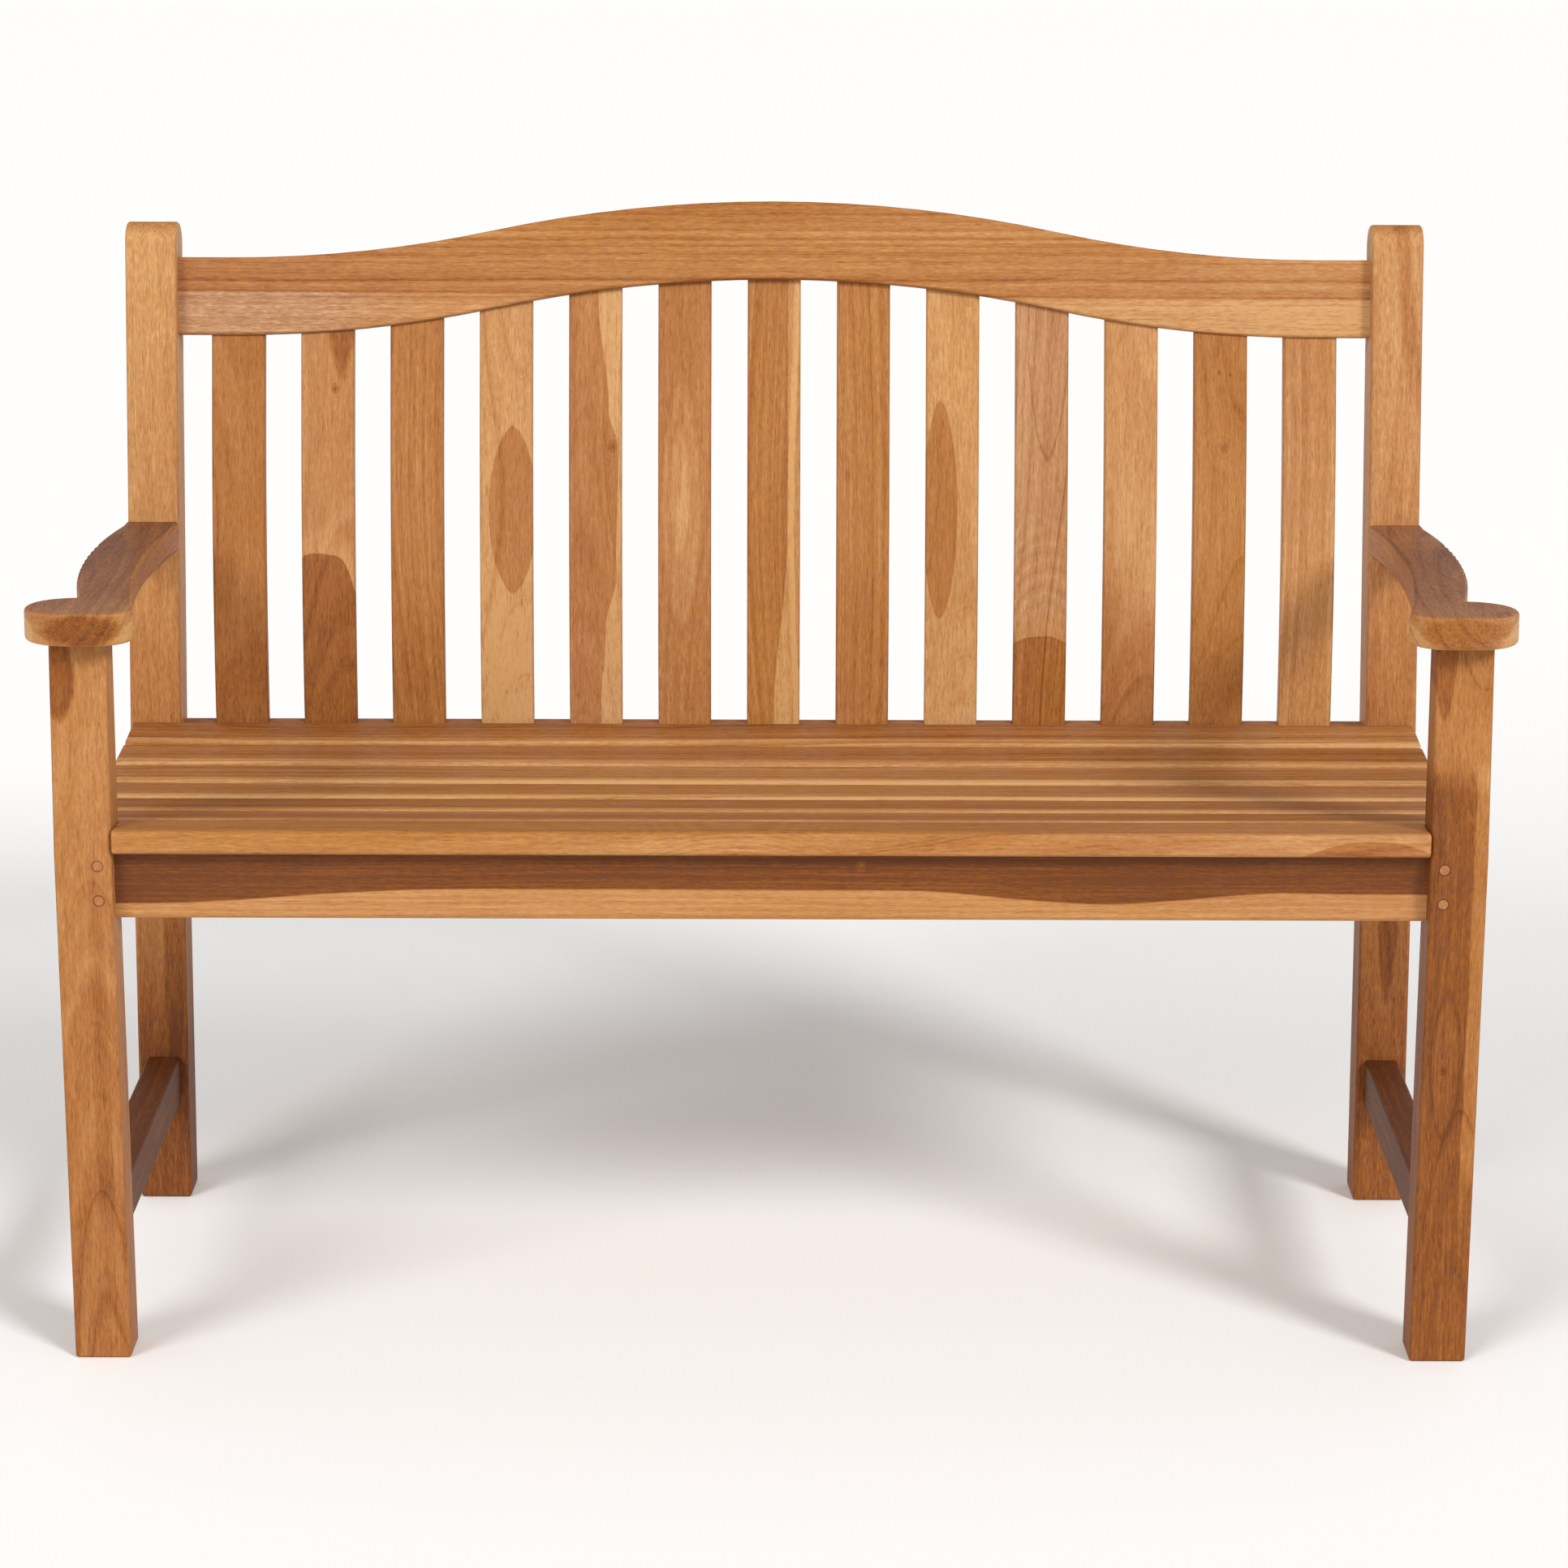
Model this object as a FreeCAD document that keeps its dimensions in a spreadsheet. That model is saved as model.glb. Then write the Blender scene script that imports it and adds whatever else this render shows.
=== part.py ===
import FreeCAD, Part
import math
import os

import Sketcher

# Two-seat hardwood garden bench with a curved crest rail, a slatted back and seat and scrolled arms,
# put together with pegged mortise-and-tenon joints. Millimetres; X runs along the bench, -Y is the
# front and +Z is up. The origin is on the ground under the middle of the bench's bounding box.

SIZES = {
    # Overall
    "overall_width": 1206,          # across the scrolls of the arms
    "overall_depth": 552,           # from the front of the scrolls to the back of the posts
    "scroll_side_overhang": 19,     # widest point of a scroll beyond the outer face of the legs
    # Front legs
    "front_leg_width": 47,
    "front_leg_depth": 42,
    "front_leg_bend_rise": 2.5,     # above the side rail the leg leans back and thins to the arm
    "front_leg_lean": 17,
    "front_leg_top_depth": 34,
    # Rear legs, which run up into the back posts
    "post_width": 46,
    "post_depth": 45,
    "post_height": 886.5,
    "post_bend_height": 427,
    "post_foot_lean": 36.5,
    "back_rake": 9.84,              # degrees from vertical
    "post_top_radius": 20,
    # Crest rail, measured along the raked back
    "crest_setback": 12,
    "crest_thickness": 26,
    "crest_height": 69.8,
    "crest_underside": 367.8,       # from the bend of the posts to the underside at the ends
    "crest_rise": 51.3,
    "crest_curve_reach": 487,       # half the length of the curved middle
    "crest_crown_reach": 255,       # where the crown turns into the hollow curve
    # Back slats
    "back_slat_width": 48,
    "back_slat_end_gap": 29.3,      # from a post to the first slat; the others are spaced evenly
    "back_slat_thickness": 14,
    "back_slat_bow": 1350,          # radius of the front face
    "lumbar_height": 200,           # where the bow stands furthest forward
    "lumbar_setback": 7.5,
    "back_slat_top_lean": 4.2,      # degrees from the posts, where the bow turns straight
    "back_slat_housing": 12,        # how far a slat goes into each rail
    "end_room": 2,                  # left beyond the end of a slat or a screw
    # Lower back rail
    "lower_rail_setback": 17,
    "lower_rail_thickness": 24,
    "lower_rail_height": 60,
    "lower_rail_top": 439.3,
    # Seat
    "seat_slat_thickness": 20,
    "seat_slat_width": 54,
    "seat_slat_inset": 4,           # slat ends from the outer face of the legs
    "seat_low_height": 438.8,
    "seat_low_from_posts": 150,
    "seat_step": 1.2,               # the curved seat starts this far below the front slat
    "seat_rear_gap": 1,
    "front_slat_width": 48,
    "front_slat_height": 461.8,
    "front_slat_tilt": 4,           # degrees
    "front_slat_proud": 3,
    # Rails under the seat, and the stretchers
    "apron_setback": 13,
    "apron_thickness": 25,
    "apron_bottom": 382.7,
    "side_rail_width": 30,
    "side_rail_bottom": 380,
    "bearer_bottom": 390,
    "stretcher_width": 30,
    "stretcher_height": 42,
    "stretcher_bottom": 91.5,
    # Arms
    "arm_thickness": 27,
    "arm_slope": 2.6,               # degrees, down to the back
    "arm_height": 623.5,              # top of the arm where it meets the post
    "arm_overhang": 15,             # scroll in front of the legs
    "arm_outer_curve": 1100,
    "arm_inner_curve": 1512,
    "scroll_radius": 39,
    "scroll_width": 89,
    "scroll_corner_radius": 30,
    "notch_inset": 38,              # from the widest point of the scroll to the notch behind it
    "notch_radius": 3,
    # Joinery
    "tenon_thickness": 12,
    "tenon_shoulder": 8,
    "apron_tenon_thickness": 10,
    "apron_tenon_setback": 2,       # from the face of the apron, to clear the side rails' tenons
    "apron_tenon_shoulder": 5,
    "apron_tenon_height": 50,
    "apron_tenon_length": 30,
    "side_tenon_length": 15,
    "stretcher_tenon_length": 22,
    "back_tenon_length": 27,
    "bearer_tenon_length": 12,
    "bearer_tenon_height": 20,
    "arm_tenon_length": 20,
    "leg_tenon_length": 18,
    "peg_diameter": 8,
    "peg_inset": 11.5,              # peg centre from the shoulder of the joint
    "side_peg_inset": 7,            # the same where the tenon is short
    "apron_peg_low": 18.7,          # above the bottom of the apron
    "apron_peg_spacing": 29.3,
    "apron_peg_length": 28,
    "side_peg_length": 40,
    "back_peg_spacing": 28,
    "back_peg_length": 28,
    "peg_room": 1.5,                # a hole runs this far past its peg
    "apron_screw_spacing": 300,
    "screw_diameter": 4,
    "screw_head_diameter": 8,
    "screw_head_height": 3,
    "screw_bearing": 22,            # wood between the head and the underside of the slat
    "screw_bite": 14,
    "joint_clearance": 0.2,
    "peg_clearance": 0.1,
    "end_clearance": 0.5,
    # Rounded edges
    "leg_edge": 3,
    "rail_edge": 3,
    "arm_edge": 4,
    "slat_edge": 4,
    "slat_end_edge": 2,
    "back_slat_edge": 2.5,
}

BACK_SLATS = 13
SEAT_SLATS = 6          # behind the front slat
APRON_SCREWS = 4
TOP_ROUND_LIMIT = 0.45  # largest part of a post's depth that one of the rounds of its top may take
EMBED = 6               # how far a tenon's block reaches back into its own rail before they are fused
OVERSHOOT = 8           # how far a cutting tool runs past the surface it opens
FLAT = 1e-4             # an edge shorter than this along an axis lies square to it
MARGIN = 1              # allowance when edges are picked by where they are or how long
SIDES = {"left": -1, "right": 1}

doc = FreeCAD.newDocument("garden_bench")
sheet = doc.addObject("Spreadsheet::Sheet", "Sizes")
nodes = {}


class Size:
    """A length or an angle: its value now, and the expression on the sheet that gives it."""

    def __init__(self, value, text):
        self.value = value
        self.text = text

    def combined(self, sign, other, value):
        return Size(value, f"({self.text} {sign} {other.text})")

    def __add__(self, other):
        other = sized(other)
        return self.combined("+", other, self.value + other.value)

    def __sub__(self, other):
        other = sized(other)
        return self.combined("-", other, self.value - other.value)

    def __mul__(self, other):
        other = sized(other)
        return self.combined("*", other, self.value * other.value)

    def __truediv__(self, other):
        other = sized(other)
        return self.combined("/", other, self.value / other.value)

    def __neg__(self):
        return self * -1

    def __radd__(self, other):
        return sized(other) + self

    def __rsub__(self, other):
        return sized(other) - self

    def __rmul__(self, other):
        return sized(other) * self


def sized(number):
    if isinstance(number, Size):
        return number
    return Size(number, f"({number})")


def sine(angle):
    return Size(math.sin(math.radians(angle.value)), f"sin({angle.text})")


def cosine(angle):
    return Size(math.cos(math.radians(angle.value)), f"cos({angle.text})")


def tangent(angle):
    return Size(math.tan(math.radians(angle.value)), f"tan({angle.text})")


def arcsine(ratio):
    return Size(math.degrees(math.asin(ratio.value)), f"(asin({ratio.text}) / 1 deg)")


def root(number):
    return Size(math.sqrt(number.value), f"sqrt({number.text})")


def lesser(first, second):
    return Size(min(first.value, second.value), f"min({first.text}; {second.text})")


def greater(first, second):
    return Size(max(first.value, second.value), f"max({first.text}; {second.text})")


def read_sizes():
    """Write every driving size on the sheet and hand back a Size for each."""
    sizes = {}
    for row, (name, value) in enumerate(SIZES.items(), start=1):
        sheet.set(f"A{row}", name)
        sheet.set(f"B{row}", str(value))
        sheet.setAlias(f"B{row}", name)
        sizes[name] = Size(value, f"Sizes.{name}")
    doc.recompute()
    return sizes


def bind(thing, field, size):
    thing.setExpression(field, sized(size).text)


class Frame:
    """Axes turned about the X direction: where they start in Y and Z, and their tilt in degrees."""

    def __init__(self, y, z, tilt):
        self.y = sized(y)
        self.z = sized(z)
        self.tilt = sized(tilt)

    def at(self, y, z):
        """The world Y and Z of a point given in this frame."""
        y, z = sized(y), sized(z)
        lean, rise = sine(self.tilt), cosine(self.tilt)
        return self.y + y * rise - z * lean, self.z + y * lean + z * rise

    def reading(self, y, z):
        """The coordinates in this frame of a point given in the world."""
        away, above = sized(y) - self.y, sized(z) - self.z
        lean, rise = sine(self.tilt), cosine(self.tilt)
        return away * rise + above * lean, above * rise - away * lean

    def within(self, y, z, tilt):
        """A frame that starts at a point of this one and is turned further."""
        return Frame(*self.at(y, z), self.tilt + tilt)

    def level(self, drop, y):
        """World Z of the plane `drop` below this frame's own XY plane, at a world Y."""
        return self.z - drop / cosine(self.tilt) + (y - self.y) * tangent(self.tilt)


WORLD = Frame(0, 0, 0)


def place(thing, frame, x, y, z, turn=0):
    """Put a document object at a point of a frame, turned with it and by `turn` degrees more."""
    world_y, world_z = frame.at(y, z)
    thing.Placement = FreeCAD.Placement(FreeCAD.Vector(), FreeCAD.Rotation(FreeCAD.Vector(1, 0, 0), 1))
    bind(thing, "Placement.Rotation.Angle", frame.tilt + turn)
    bind(thing, "Placement.Base.x", x)
    bind(thing, "Placement.Base.y", world_y)
    bind(thing, "Placement.Base.z", world_z)


# ---------------------------------------------------------------- sketches and pads


def straight(first, second):
    return Part.LineSegment(point(first), point(second)), 1, 2


def point(corner):
    return FreeCAD.Vector(corner[0].value, corner[1].value, 0)


def curved(first, second, radius, turning):
    """An arc of less than half a circle between two corners. `turning` is +1 where the outline is
    walked anticlockwise; a positive radius bulges out of the outline and a negative one into it."""
    start, end = point(first), point(second)
    chord = end - start
    half = chord.Length / 2
    reach = abs(radius.value)
    anticlockwise = turning * radius.value > 0
    left = FreeCAD.Vector(-chord.y, chord.x, 0).normalize()
    offset = math.sqrt(reach * reach - half * half) * (1 if anticlockwise else -1)
    centre = (start + end) * 0.5 + left * offset
    circle = Part.Circle(centre, FreeCAD.Vector(0, 0, 1), reach)
    head, tail = (start, end) if anticlockwise else (end, start)
    arc = Part.ArcOfCircle(circle, circle.parameter(head), circle.parameter(tail))
    return (arc, 1, 2) if anticlockwise else (arc, 2, 1)


def outline(body, plane, corners, lift):
    """A closed sketch on one of the body's own planes, with every corner and radius bound.

    A corner is (a, b), or (a, b, radius) where an arc leads from it to the next one."""
    sketch = body.newObject("Sketcher::SketchObject", f"{body.Name}_outline")
    support = [item for item in body.Origin.OriginFeatures if item.Role == plane][0]
    sketch.AttachmentSupport = [(support, "")]
    sketch.MapMode = "FlatFace"
    bind(sketch, "AttachmentOffset.Base.z", lift)
    corners = [tuple(sized(number) for number in corner) for corner in corners]
    followers = corners[1:] + corners[:1]
    area = sum(a[0].value * b[1].value - b[0].value * a[1].value for a, b in zip(corners, followers))
    drawn = []
    for corner, follower in zip(corners, followers):
        if len(corner) == 3:
            edge, head, tail = curved(corner, follower, corner[2], math.copysign(1, area))
        else:
            edge, head, tail = straight(corner, follower)
        drawn.append((sketch.addGeometry(edge, False), head, tail))
    for (edge, head, tail), (other, other_head, _) in zip(drawn, drawn[1:] + drawn[:1]):
        sketch.addConstraint(Sketcher.Constraint("Coincident", edge, tail, other, other_head))
    for corner, (edge, head, tail) in zip(corners, drawn):
        for kind, size in zip(("DistanceX", "DistanceY"), corner):
            index = sketch.addConstraint(Sketcher.Constraint(kind, -1, 1, edge, head, size.value))
            bind(sketch, f"Constraints[{index}]", size)
        if len(corner) == 3:
            reach = corner[2] if corner[2].value > 0 else -corner[2]
            index = sketch.addConstraint(Sketcher.Constraint("Radius", edge, reach.value))
            bind(sketch, f"Constraints[{index}]", reach)
    return sketch


def blank(name, frame, plane, corners, low, high, x=0):
    """A body padded from an outline, between two places along the plane's own axis."""
    body = doc.addObject("PartDesign::Body", f"{name}_blank")
    place(body, frame, x, 0, 0)
    # The XZ plane of a body faces -Y, so what is at +Y lies below it.
    lift = -sized(high) if plane == "XZ_Plane" else sized(low)
    sketch = outline(body, plane, corners, lift)
    pad = body.newObject("PartDesign::Pad", f"{name}_pad")
    pad.Profile = sketch
    bind(pad, "Length", sized(high) - low)
    doc.recompute()
    return body


def rounded(body, radius, chosen):
    """Round the edges of the body's last feature that the test picks."""
    base = body.Tip
    edges = [f"Edge{index}" for index, edge in enumerate(base.Shape.Edges, start=1) if chosen(edge)]
    fillet = body.newObject("PartDesign::Fillet", f"{body.Name}_rounding")
    fillet.Base = (base, edges)
    bind(fillet, "Radius", radius)
    doc.recompute()
    return body


def runs_along_x(edge):
    return edge.BoundBox.YLength < FLAT and edge.BoundBox.ZLength < FLAT


def square_to_x(edge):
    return edge.BoundBox.XLength < FLAT


def square_to_y(edge):
    return edge.BoundBox.YLength < FLAT


def square_to_z(edge):
    return edge.BoundBox.ZLength < FLAT


# ---------------------------------------------------------------- blocks, pegs and booleans


def block(name, frame, x, y, z):
    """A box between two values along each axis of a frame."""
    box = doc.addObject("Part::Box", name)
    place(box, frame, x[0], y[0], z[0])
    for field, (low, high) in zip(("Length", "Width", "Height"), (x, y, z)):
        bind(box, field, sized(high) - low)
    return box


def mirrored_span(side, low, high):
    """The X range between two distances from the middle, on one side of the bench."""
    return (side * low, side * high) if side > 0 else (side * high, side * low)


def upright_rod(name, frame, diameter, x, y, z):
    """A cylinder along the frame's own Z, from z[0] to z[1]."""
    rod = doc.addObject("Part::Cylinder", name)
    place(rod, frame, x, y, z[0])
    bind(rod, "Radius", diameter / 2)
    bind(rod, "Height", z[1] - z[0])
    return rod


def backward_rod(name, frame, diameter, x, y, z):
    """A cylinder along the frame's own Y, from y[0] to y[1]."""
    rod = doc.addObject("Part::Cylinder", name)
    place(rod, frame, x, y[0], z, turn=-90)
    bind(rod, "Radius", diameter / 2)
    bind(rod, "Height", y[1] - y[0])
    return rod


def sideways_rod(name, frame, diameter, x, y, z):
    """A cylinder along X, from x[0] to x[1]."""
    rod = doc.addObject("Part::Cylinder", name)
    world_y, world_z = frame.at(y, z)
    rod.Placement = FreeCAD.Placement(FreeCAD.Vector(), FreeCAD.Rotation(FreeCAD.Vector(0, 1, 0), 90))
    bind(rod, "Placement.Base.x", x[0])
    bind(rod, "Placement.Base.y", world_y)
    bind(rod, "Placement.Base.z", world_z)
    bind(rod, "Radius", diameter / 2)
    bind(rod, "Height", x[1] - x[0])
    return rod


def fused(name, shapes):
    if len(shapes) == 1:
        return shapes[0]
    union = doc.addObject("Part::MultiFuse", name)
    union.Shapes = shapes
    union.Refine = True
    return union


def finish(name, body, tenons=(), cuts=()):
    """Add the tenons to a piece, cut its mortises and holes, and enter it as a node."""
    piece = fused(f"{name}_solid", [body, *tenons])
    if cuts:
        cut = doc.addObject("Part::Cut", name)
        cut.Base = piece
        cut.Tool = fused(f"{name}_cuts", list(cuts))
        cut.Refine = True
        piece = cut
    piece.Label = name
    nodes[name] = piece


def group(name, solids):
    """Identical fasteners, kept as separate solids of one node."""
    compound = doc.addObject("Part::Compound", name)
    compound.Links = solids
    compound.Label = name
    nodes[name] = compound


# ---------------------------------------------------------------- shared places

size = read_sizes()

half_frame = size["overall_width"] / 2 - size["scroll_side_overhang"]
leg_inner = half_frame - size["front_leg_width"]
post_inner = half_frame - size["post_width"]
rail_middle = half_frame - size["front_leg_width"] / 2
clearance = size["joint_clearance"]

leg_front = -size["overall_depth"] / 2 + size["arm_overhang"]
leg_rear = leg_front + size["front_leg_depth"]

# The posts lean back from their bend. The round of their top, or the crown of the crest rail,
# reaches the back of the bench.
rake_lean = sine(size["back_rake"])
rake_rise = cosine(size["back_rake"])
post_face_depth = size["post_depth"] * rake_rise
post_round = lesser(size["post_top_radius"], post_face_depth * TOP_ROUND_LIMIT)
post_reach = post_round + (
    size["post_height"] - size["post_bend_height"] - post_round + post_round * rake_lean
) / rake_rise
crown_top = size["crest_underside"] + size["crest_rise"] + size["crest_height"]


def reach_back(height, setback, radius):
    """How far behind the bend of the posts a rounded upper rear corner reaches on the raked back."""
    return (height - radius) * rake_lean + (setback - radius) * rake_rise + radius


post_bend = size["overall_depth"] / 2 - greater(
    reach_back(post_reach, post_face_depth, post_round),
    reach_back(crown_top, size["crest_setback"] + size["crest_thickness"], size["rail_edge"]),
)
back = Frame(post_bend, size["post_bend_height"], -size["back_rake"])

front_slat_frame = Frame(
    leg_front - size["front_slat_proud"], size["front_slat_height"], -size["front_slat_tilt"]
)
front_slat_rear = leg_front - size["front_slat_proud"] + size["front_slat_width"]

# The seat follows an arc through the back of the front slat and its own lowest line.
seat_low = post_bend - size["seat_low_from_posts"]
seat_start = front_slat_frame.level(size["seat_step"], front_slat_rear)
seat_run = seat_low - front_slat_rear
seat_drop = seat_start - size["seat_low_height"]
seat_radius = (seat_run * seat_run + seat_drop * seat_drop) / (2 * seat_drop)
bed_radius = seat_radius + size["seat_slat_thickness"]
seat_centre = Frame(seat_low, size["seat_low_height"] + seat_radius, 0)

arm_mark = (size["arm_height"] - size["post_bend_height"]) / rake_rise
arm_meeting = post_bend + (size["arm_height"] - size["post_bend_height"]) * tangent(size["back_rake"])
arm = Frame(arm_meeting, size["arm_height"], -size["arm_slope"])
arm_length = size["arm_edge"] + (
    arm_meeting
    + size["overall_depth"] / 2
    - size["arm_edge"]
    + (size["arm_edge"] - size["arm_thickness"]) * sine(size["arm_slope"])
) / cosine(size["arm_slope"])


def post_face(z):
    """World Y of the front face of the posts at a height."""
    if z.value > size["post_bend_height"].value:
        return post_bend + (z - size["post_bend_height"]) * tangent(size["back_rake"])
    return post_bend - (size["post_bend_height"] - z) * size["post_foot_lean"] / size["post_bend_height"]


def post_front(low, high):
    """Corners along the front of the posts between two heights."""
    bend = size["post_bend_height"]
    heights = [low, bend, high] if low.value < bend.value < high.value else [low, high]
    return [(post_face(z), z) for z in heights]


def bed_height(y):
    """World Z of the curved top of the rails that carry the seat slats."""
    away = y - seat_centre.y
    return seat_centre.z - root(bed_radius * bed_radius - away * away)


def curve_radius(run, drop):
    """Radius of an arc that starts level and drops by `drop` over `run`."""
    return (run * run + drop * drop) / (2 * drop)


crest_crown_drop = size["crest_rise"] * size["crest_crown_reach"] / size["crest_curve_reach"]
crest_hollow_drop = size["crest_rise"] - crest_crown_drop
crest_crown_radius = curve_radius(size["crest_crown_reach"], crest_crown_drop)
crest_hollow_reach = size["crest_curve_reach"] - size["crest_crown_reach"]
crest_hollow_radius = curve_radius(crest_hollow_reach, crest_hollow_drop)


def crest_underside(x):
    """Height of the crest rail's underside along the raked back, at a distance from the middle."""
    away = x if x.value > 0 else -x
    if away.value < size["crest_crown_reach"].value:
        fall = crest_crown_radius - root(crest_crown_radius * crest_crown_radius - away * away)
        return size["crest_underside"] + size["crest_rise"] - fall
    if away.value < size["crest_curve_reach"].value:
        left = size["crest_curve_reach"] - away
        climb = crest_hollow_radius - root(crest_hollow_radius * crest_hollow_radius - left * left)
        return size["crest_underside"] + climb
    return size["crest_underside"]


# ---------------------------------------------------------------- back slats and their housings

slat_pitch = (
    post_inner * 2 - size["back_slat_end_gap"] * 2 - size["back_slat_width"]
) / (BACK_SLATS - 1)
back_slat_places = [slat_pitch * (index - (BACK_SLATS - 1) / 2) for index in range(BACK_SLATS)]
bow_middle = size["back_slat_bow"] - size["back_slat_thickness"] / 2
bow_centre = size["lumbar_setback"] + size["back_slat_bow"]


def bow_end(radius):
    """The setback and height along the back where a slat's face turns from bowed to straight."""
    lean = size["back_slat_top_lean"]
    return bow_centre - radius * cosine(lean), size["lumbar_height"] + radius * sine(lean)


def slat_setback(radius, height):
    """How far behind the post fronts a slat's face lies at a height along the back."""
    end_setback, end_height = bow_end(radius)
    if height.value > end_height.value:
        return end_setback + (height - end_height) * tangent(size["back_slat_top_lean"])
    away = height - size["lumbar_height"]
    return bow_centre - root(radius * radius - away * away)


def slat_line(height):
    """A frame on a slat's centre line, turned with it."""
    lean = size["back_slat_top_lean"]
    if height.value < bow_end(bow_middle)[1].value:
        lean = arcsine((height - size["lumbar_height"]) / bow_middle)
    return back.within(slat_setback(bow_middle, height), height, -lean)


foot_setback = size["lower_rail_setback"] + size["lower_rail_thickness"] / 2
slat_foot = (
    size["lower_rail_top"] - size["post_bend_height"] + foot_setback * rake_lean
) / rake_rise


def back_slat(number, x):
    low = slat_foot - size["back_slat_housing"]
    high = crest_underside(x) + size["back_slat_housing"]
    front_radius = size["back_slat_bow"]
    rear_radius = front_radius - size["back_slat_thickness"]
    corners = [
        (slat_setback(front_radius, low), low),
        (slat_setback(rear_radius, low), low, -rear_radius),
        bow_end(rear_radius),
        (slat_setback(rear_radius, high), high),
        (slat_setback(front_radius, high), high),
        (*bow_end(front_radius), front_radius),
    ]
    half = size["back_slat_width"] / 2
    name = f"back_slat_{number:02d}"
    body = blank(name, back, "YZ_Plane", corners, -half, half, x=x)
    end_edge = size["back_slat_thickness"].value + MARGIN
    rounded(body, size["back_slat_edge"], lambda edge: square_to_x(edge) and edge.Length > end_edge)
    finish(name, body)


def slat_housings(name, height_at):
    """Mortises for all the back slats in one of the two rails; `height_at` is their mouth."""
    half_width = size["back_slat_width"] / 2 + clearance
    half_depth = size["back_slat_thickness"] / 2 + clearance
    depth = size["back_slat_housing"] + size["end_room"]
    mortises = []
    for number, x in enumerate(back_slat_places, start=1):
        height, inward = height_at(x)
        reach = (-OVERSHOOT, depth) if inward > 0 else (-depth, OVERSHOOT)
        mortises.append(
            block(
                f"{name}_housing_{number:02d}",
                slat_line(height),
                (x - half_width, x + half_width),
                (-half_depth, half_depth),
                reach,
            )
        )
    return mortises


# ---------------------------------------------------------------- joints: a tenon and its peg each


def centred(middle, width):
    return middle - sized(width) / 2, middle + sized(width) / 2


def grown(span, room):
    return span[0] - room, span[1] + room


def socket(name, frame, x, y, z):
    """The mortise for a tenon: the same block with the joint clearance all round."""
    return block(name, frame, grown(x, clearance), grown(y, clearance), grown(z, clearance))


def peg(name, rod, frame, x, y, z):
    return rod(name, frame, size["peg_diameter"], x, y, z)


def peg_hole(name, rod, frame, x, y, z):
    """The hole for a peg, wider by its clearance and longer at both ends."""
    bore = size["peg_diameter"] + size["peg_clearance"] * 2
    room = size["peg_room"]
    x, y, z = (grown(span, room) if isinstance(span, tuple) else span for span in (x, y, z))
    return rod(name, frame, bore, x, y, z)


apron_front = leg_front + size["apron_setback"]
apron_rear = apron_front + size["apron_thickness"]
lower_rail_front = post_bend + size["lower_rail_setback"]
lower_rail_rear = lower_rail_front + size["lower_rail_thickness"]
lower_rail_bottom = size["lower_rail_top"] - size["lower_rail_height"]
stretcher_top = size["stretcher_bottom"] + size["stretcher_height"]
stretcher_middle = size["stretcher_bottom"] + size["stretcher_height"] / 2
side_tenon_low = size["side_rail_bottom"] + size["tenon_shoulder"]
crest_middle = size["crest_underside"] + size["crest_height"] / 2
leg_top_front = leg_front + size["front_leg_lean"]
leg_top_rear = leg_top_front + size["front_leg_top_depth"]
leg_bend_height = bed_height(leg_rear) + size["front_leg_bend_rise"]


def outer_peg(side, frame, y, z):
    """A peg driven in from the outer face of a leg."""
    x = mirrored_span(side, half_frame - size["side_peg_length"], half_frame)
    return sideways_rod, frame, x, y, z


def apron_joint(side):
    x = mirrored_span(side, leg_inner - EMBED, leg_inner + size["apron_tenon_length"])
    near = apron_front + size["apron_tenon_setback"]
    y = (near, near + size["apron_tenon_thickness"])
    low = size["apron_bottom"] + size["apron_tenon_shoulder"]
    z = (low, low + size["apron_tenon_height"])
    peg_x = side * (leg_inner + size["peg_inset"])
    peg_y = (leg_front, leg_front + size["apron_peg_length"])
    first = size["apron_bottom"] + size["apron_peg_low"]
    heights = (first, first + size["apron_peg_spacing"])
    return (WORLD, x, y, z), [(backward_rod, WORLD, peg_x, peg_y, height) for height in heights]


def crest_joint(side):
    x = mirrored_span(side, post_inner - EMBED, post_inner + size["back_tenon_length"])
    y = centred(size["crest_setback"] + size["crest_thickness"] / 2, size["tenon_thickness"])
    z = centred(crest_middle, size["crest_height"] - size["tenon_shoulder"] * 2)
    peg_x = side * (post_inner + size["peg_inset"])
    peg_y = (post_face_depth - size["back_peg_length"], post_face_depth)
    heights = centred(crest_middle, size["back_peg_spacing"])
    return (back, x, y, z), [(backward_rod, back, peg_x, peg_y, height) for height in heights]


def lower_rail_joint(side):
    x = mirrored_span(side, post_inner - EMBED, post_inner + size["back_tenon_length"])
    y = centred((lower_rail_front + lower_rail_rear) / 2, size["tenon_thickness"])
    z = (lower_rail_bottom + size["tenon_shoulder"], size["lower_rail_top"] - size["tenon_shoulder"])
    peg_x = side * (post_inner + size["peg_inset"])
    pegs = []
    for height in centred((lower_rail_bottom + size["lower_rail_top"]) / 2, size["back_peg_spacing"]):
        post_rear = post_face(height) + size["post_depth"]
        peg_y = (post_rear - size["back_peg_length"], post_rear)
        pegs.append((backward_rod, WORLD, peg_x, peg_y, height))
    return (WORLD, x, y, z), pegs


def side_front_joint(side):
    x = centred(side * rail_middle, size["tenon_thickness"])
    y = (leg_rear - size["side_tenon_length"], leg_rear + EMBED)
    z = (side_tenon_low, bed_height(leg_rear) - size["tenon_shoulder"])
    middle = (z[0] + z[1]) / 2
    return (WORLD, x, y, z), [outer_peg(side, WORLD, leg_rear - size["side_peg_inset"], middle)]


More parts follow.
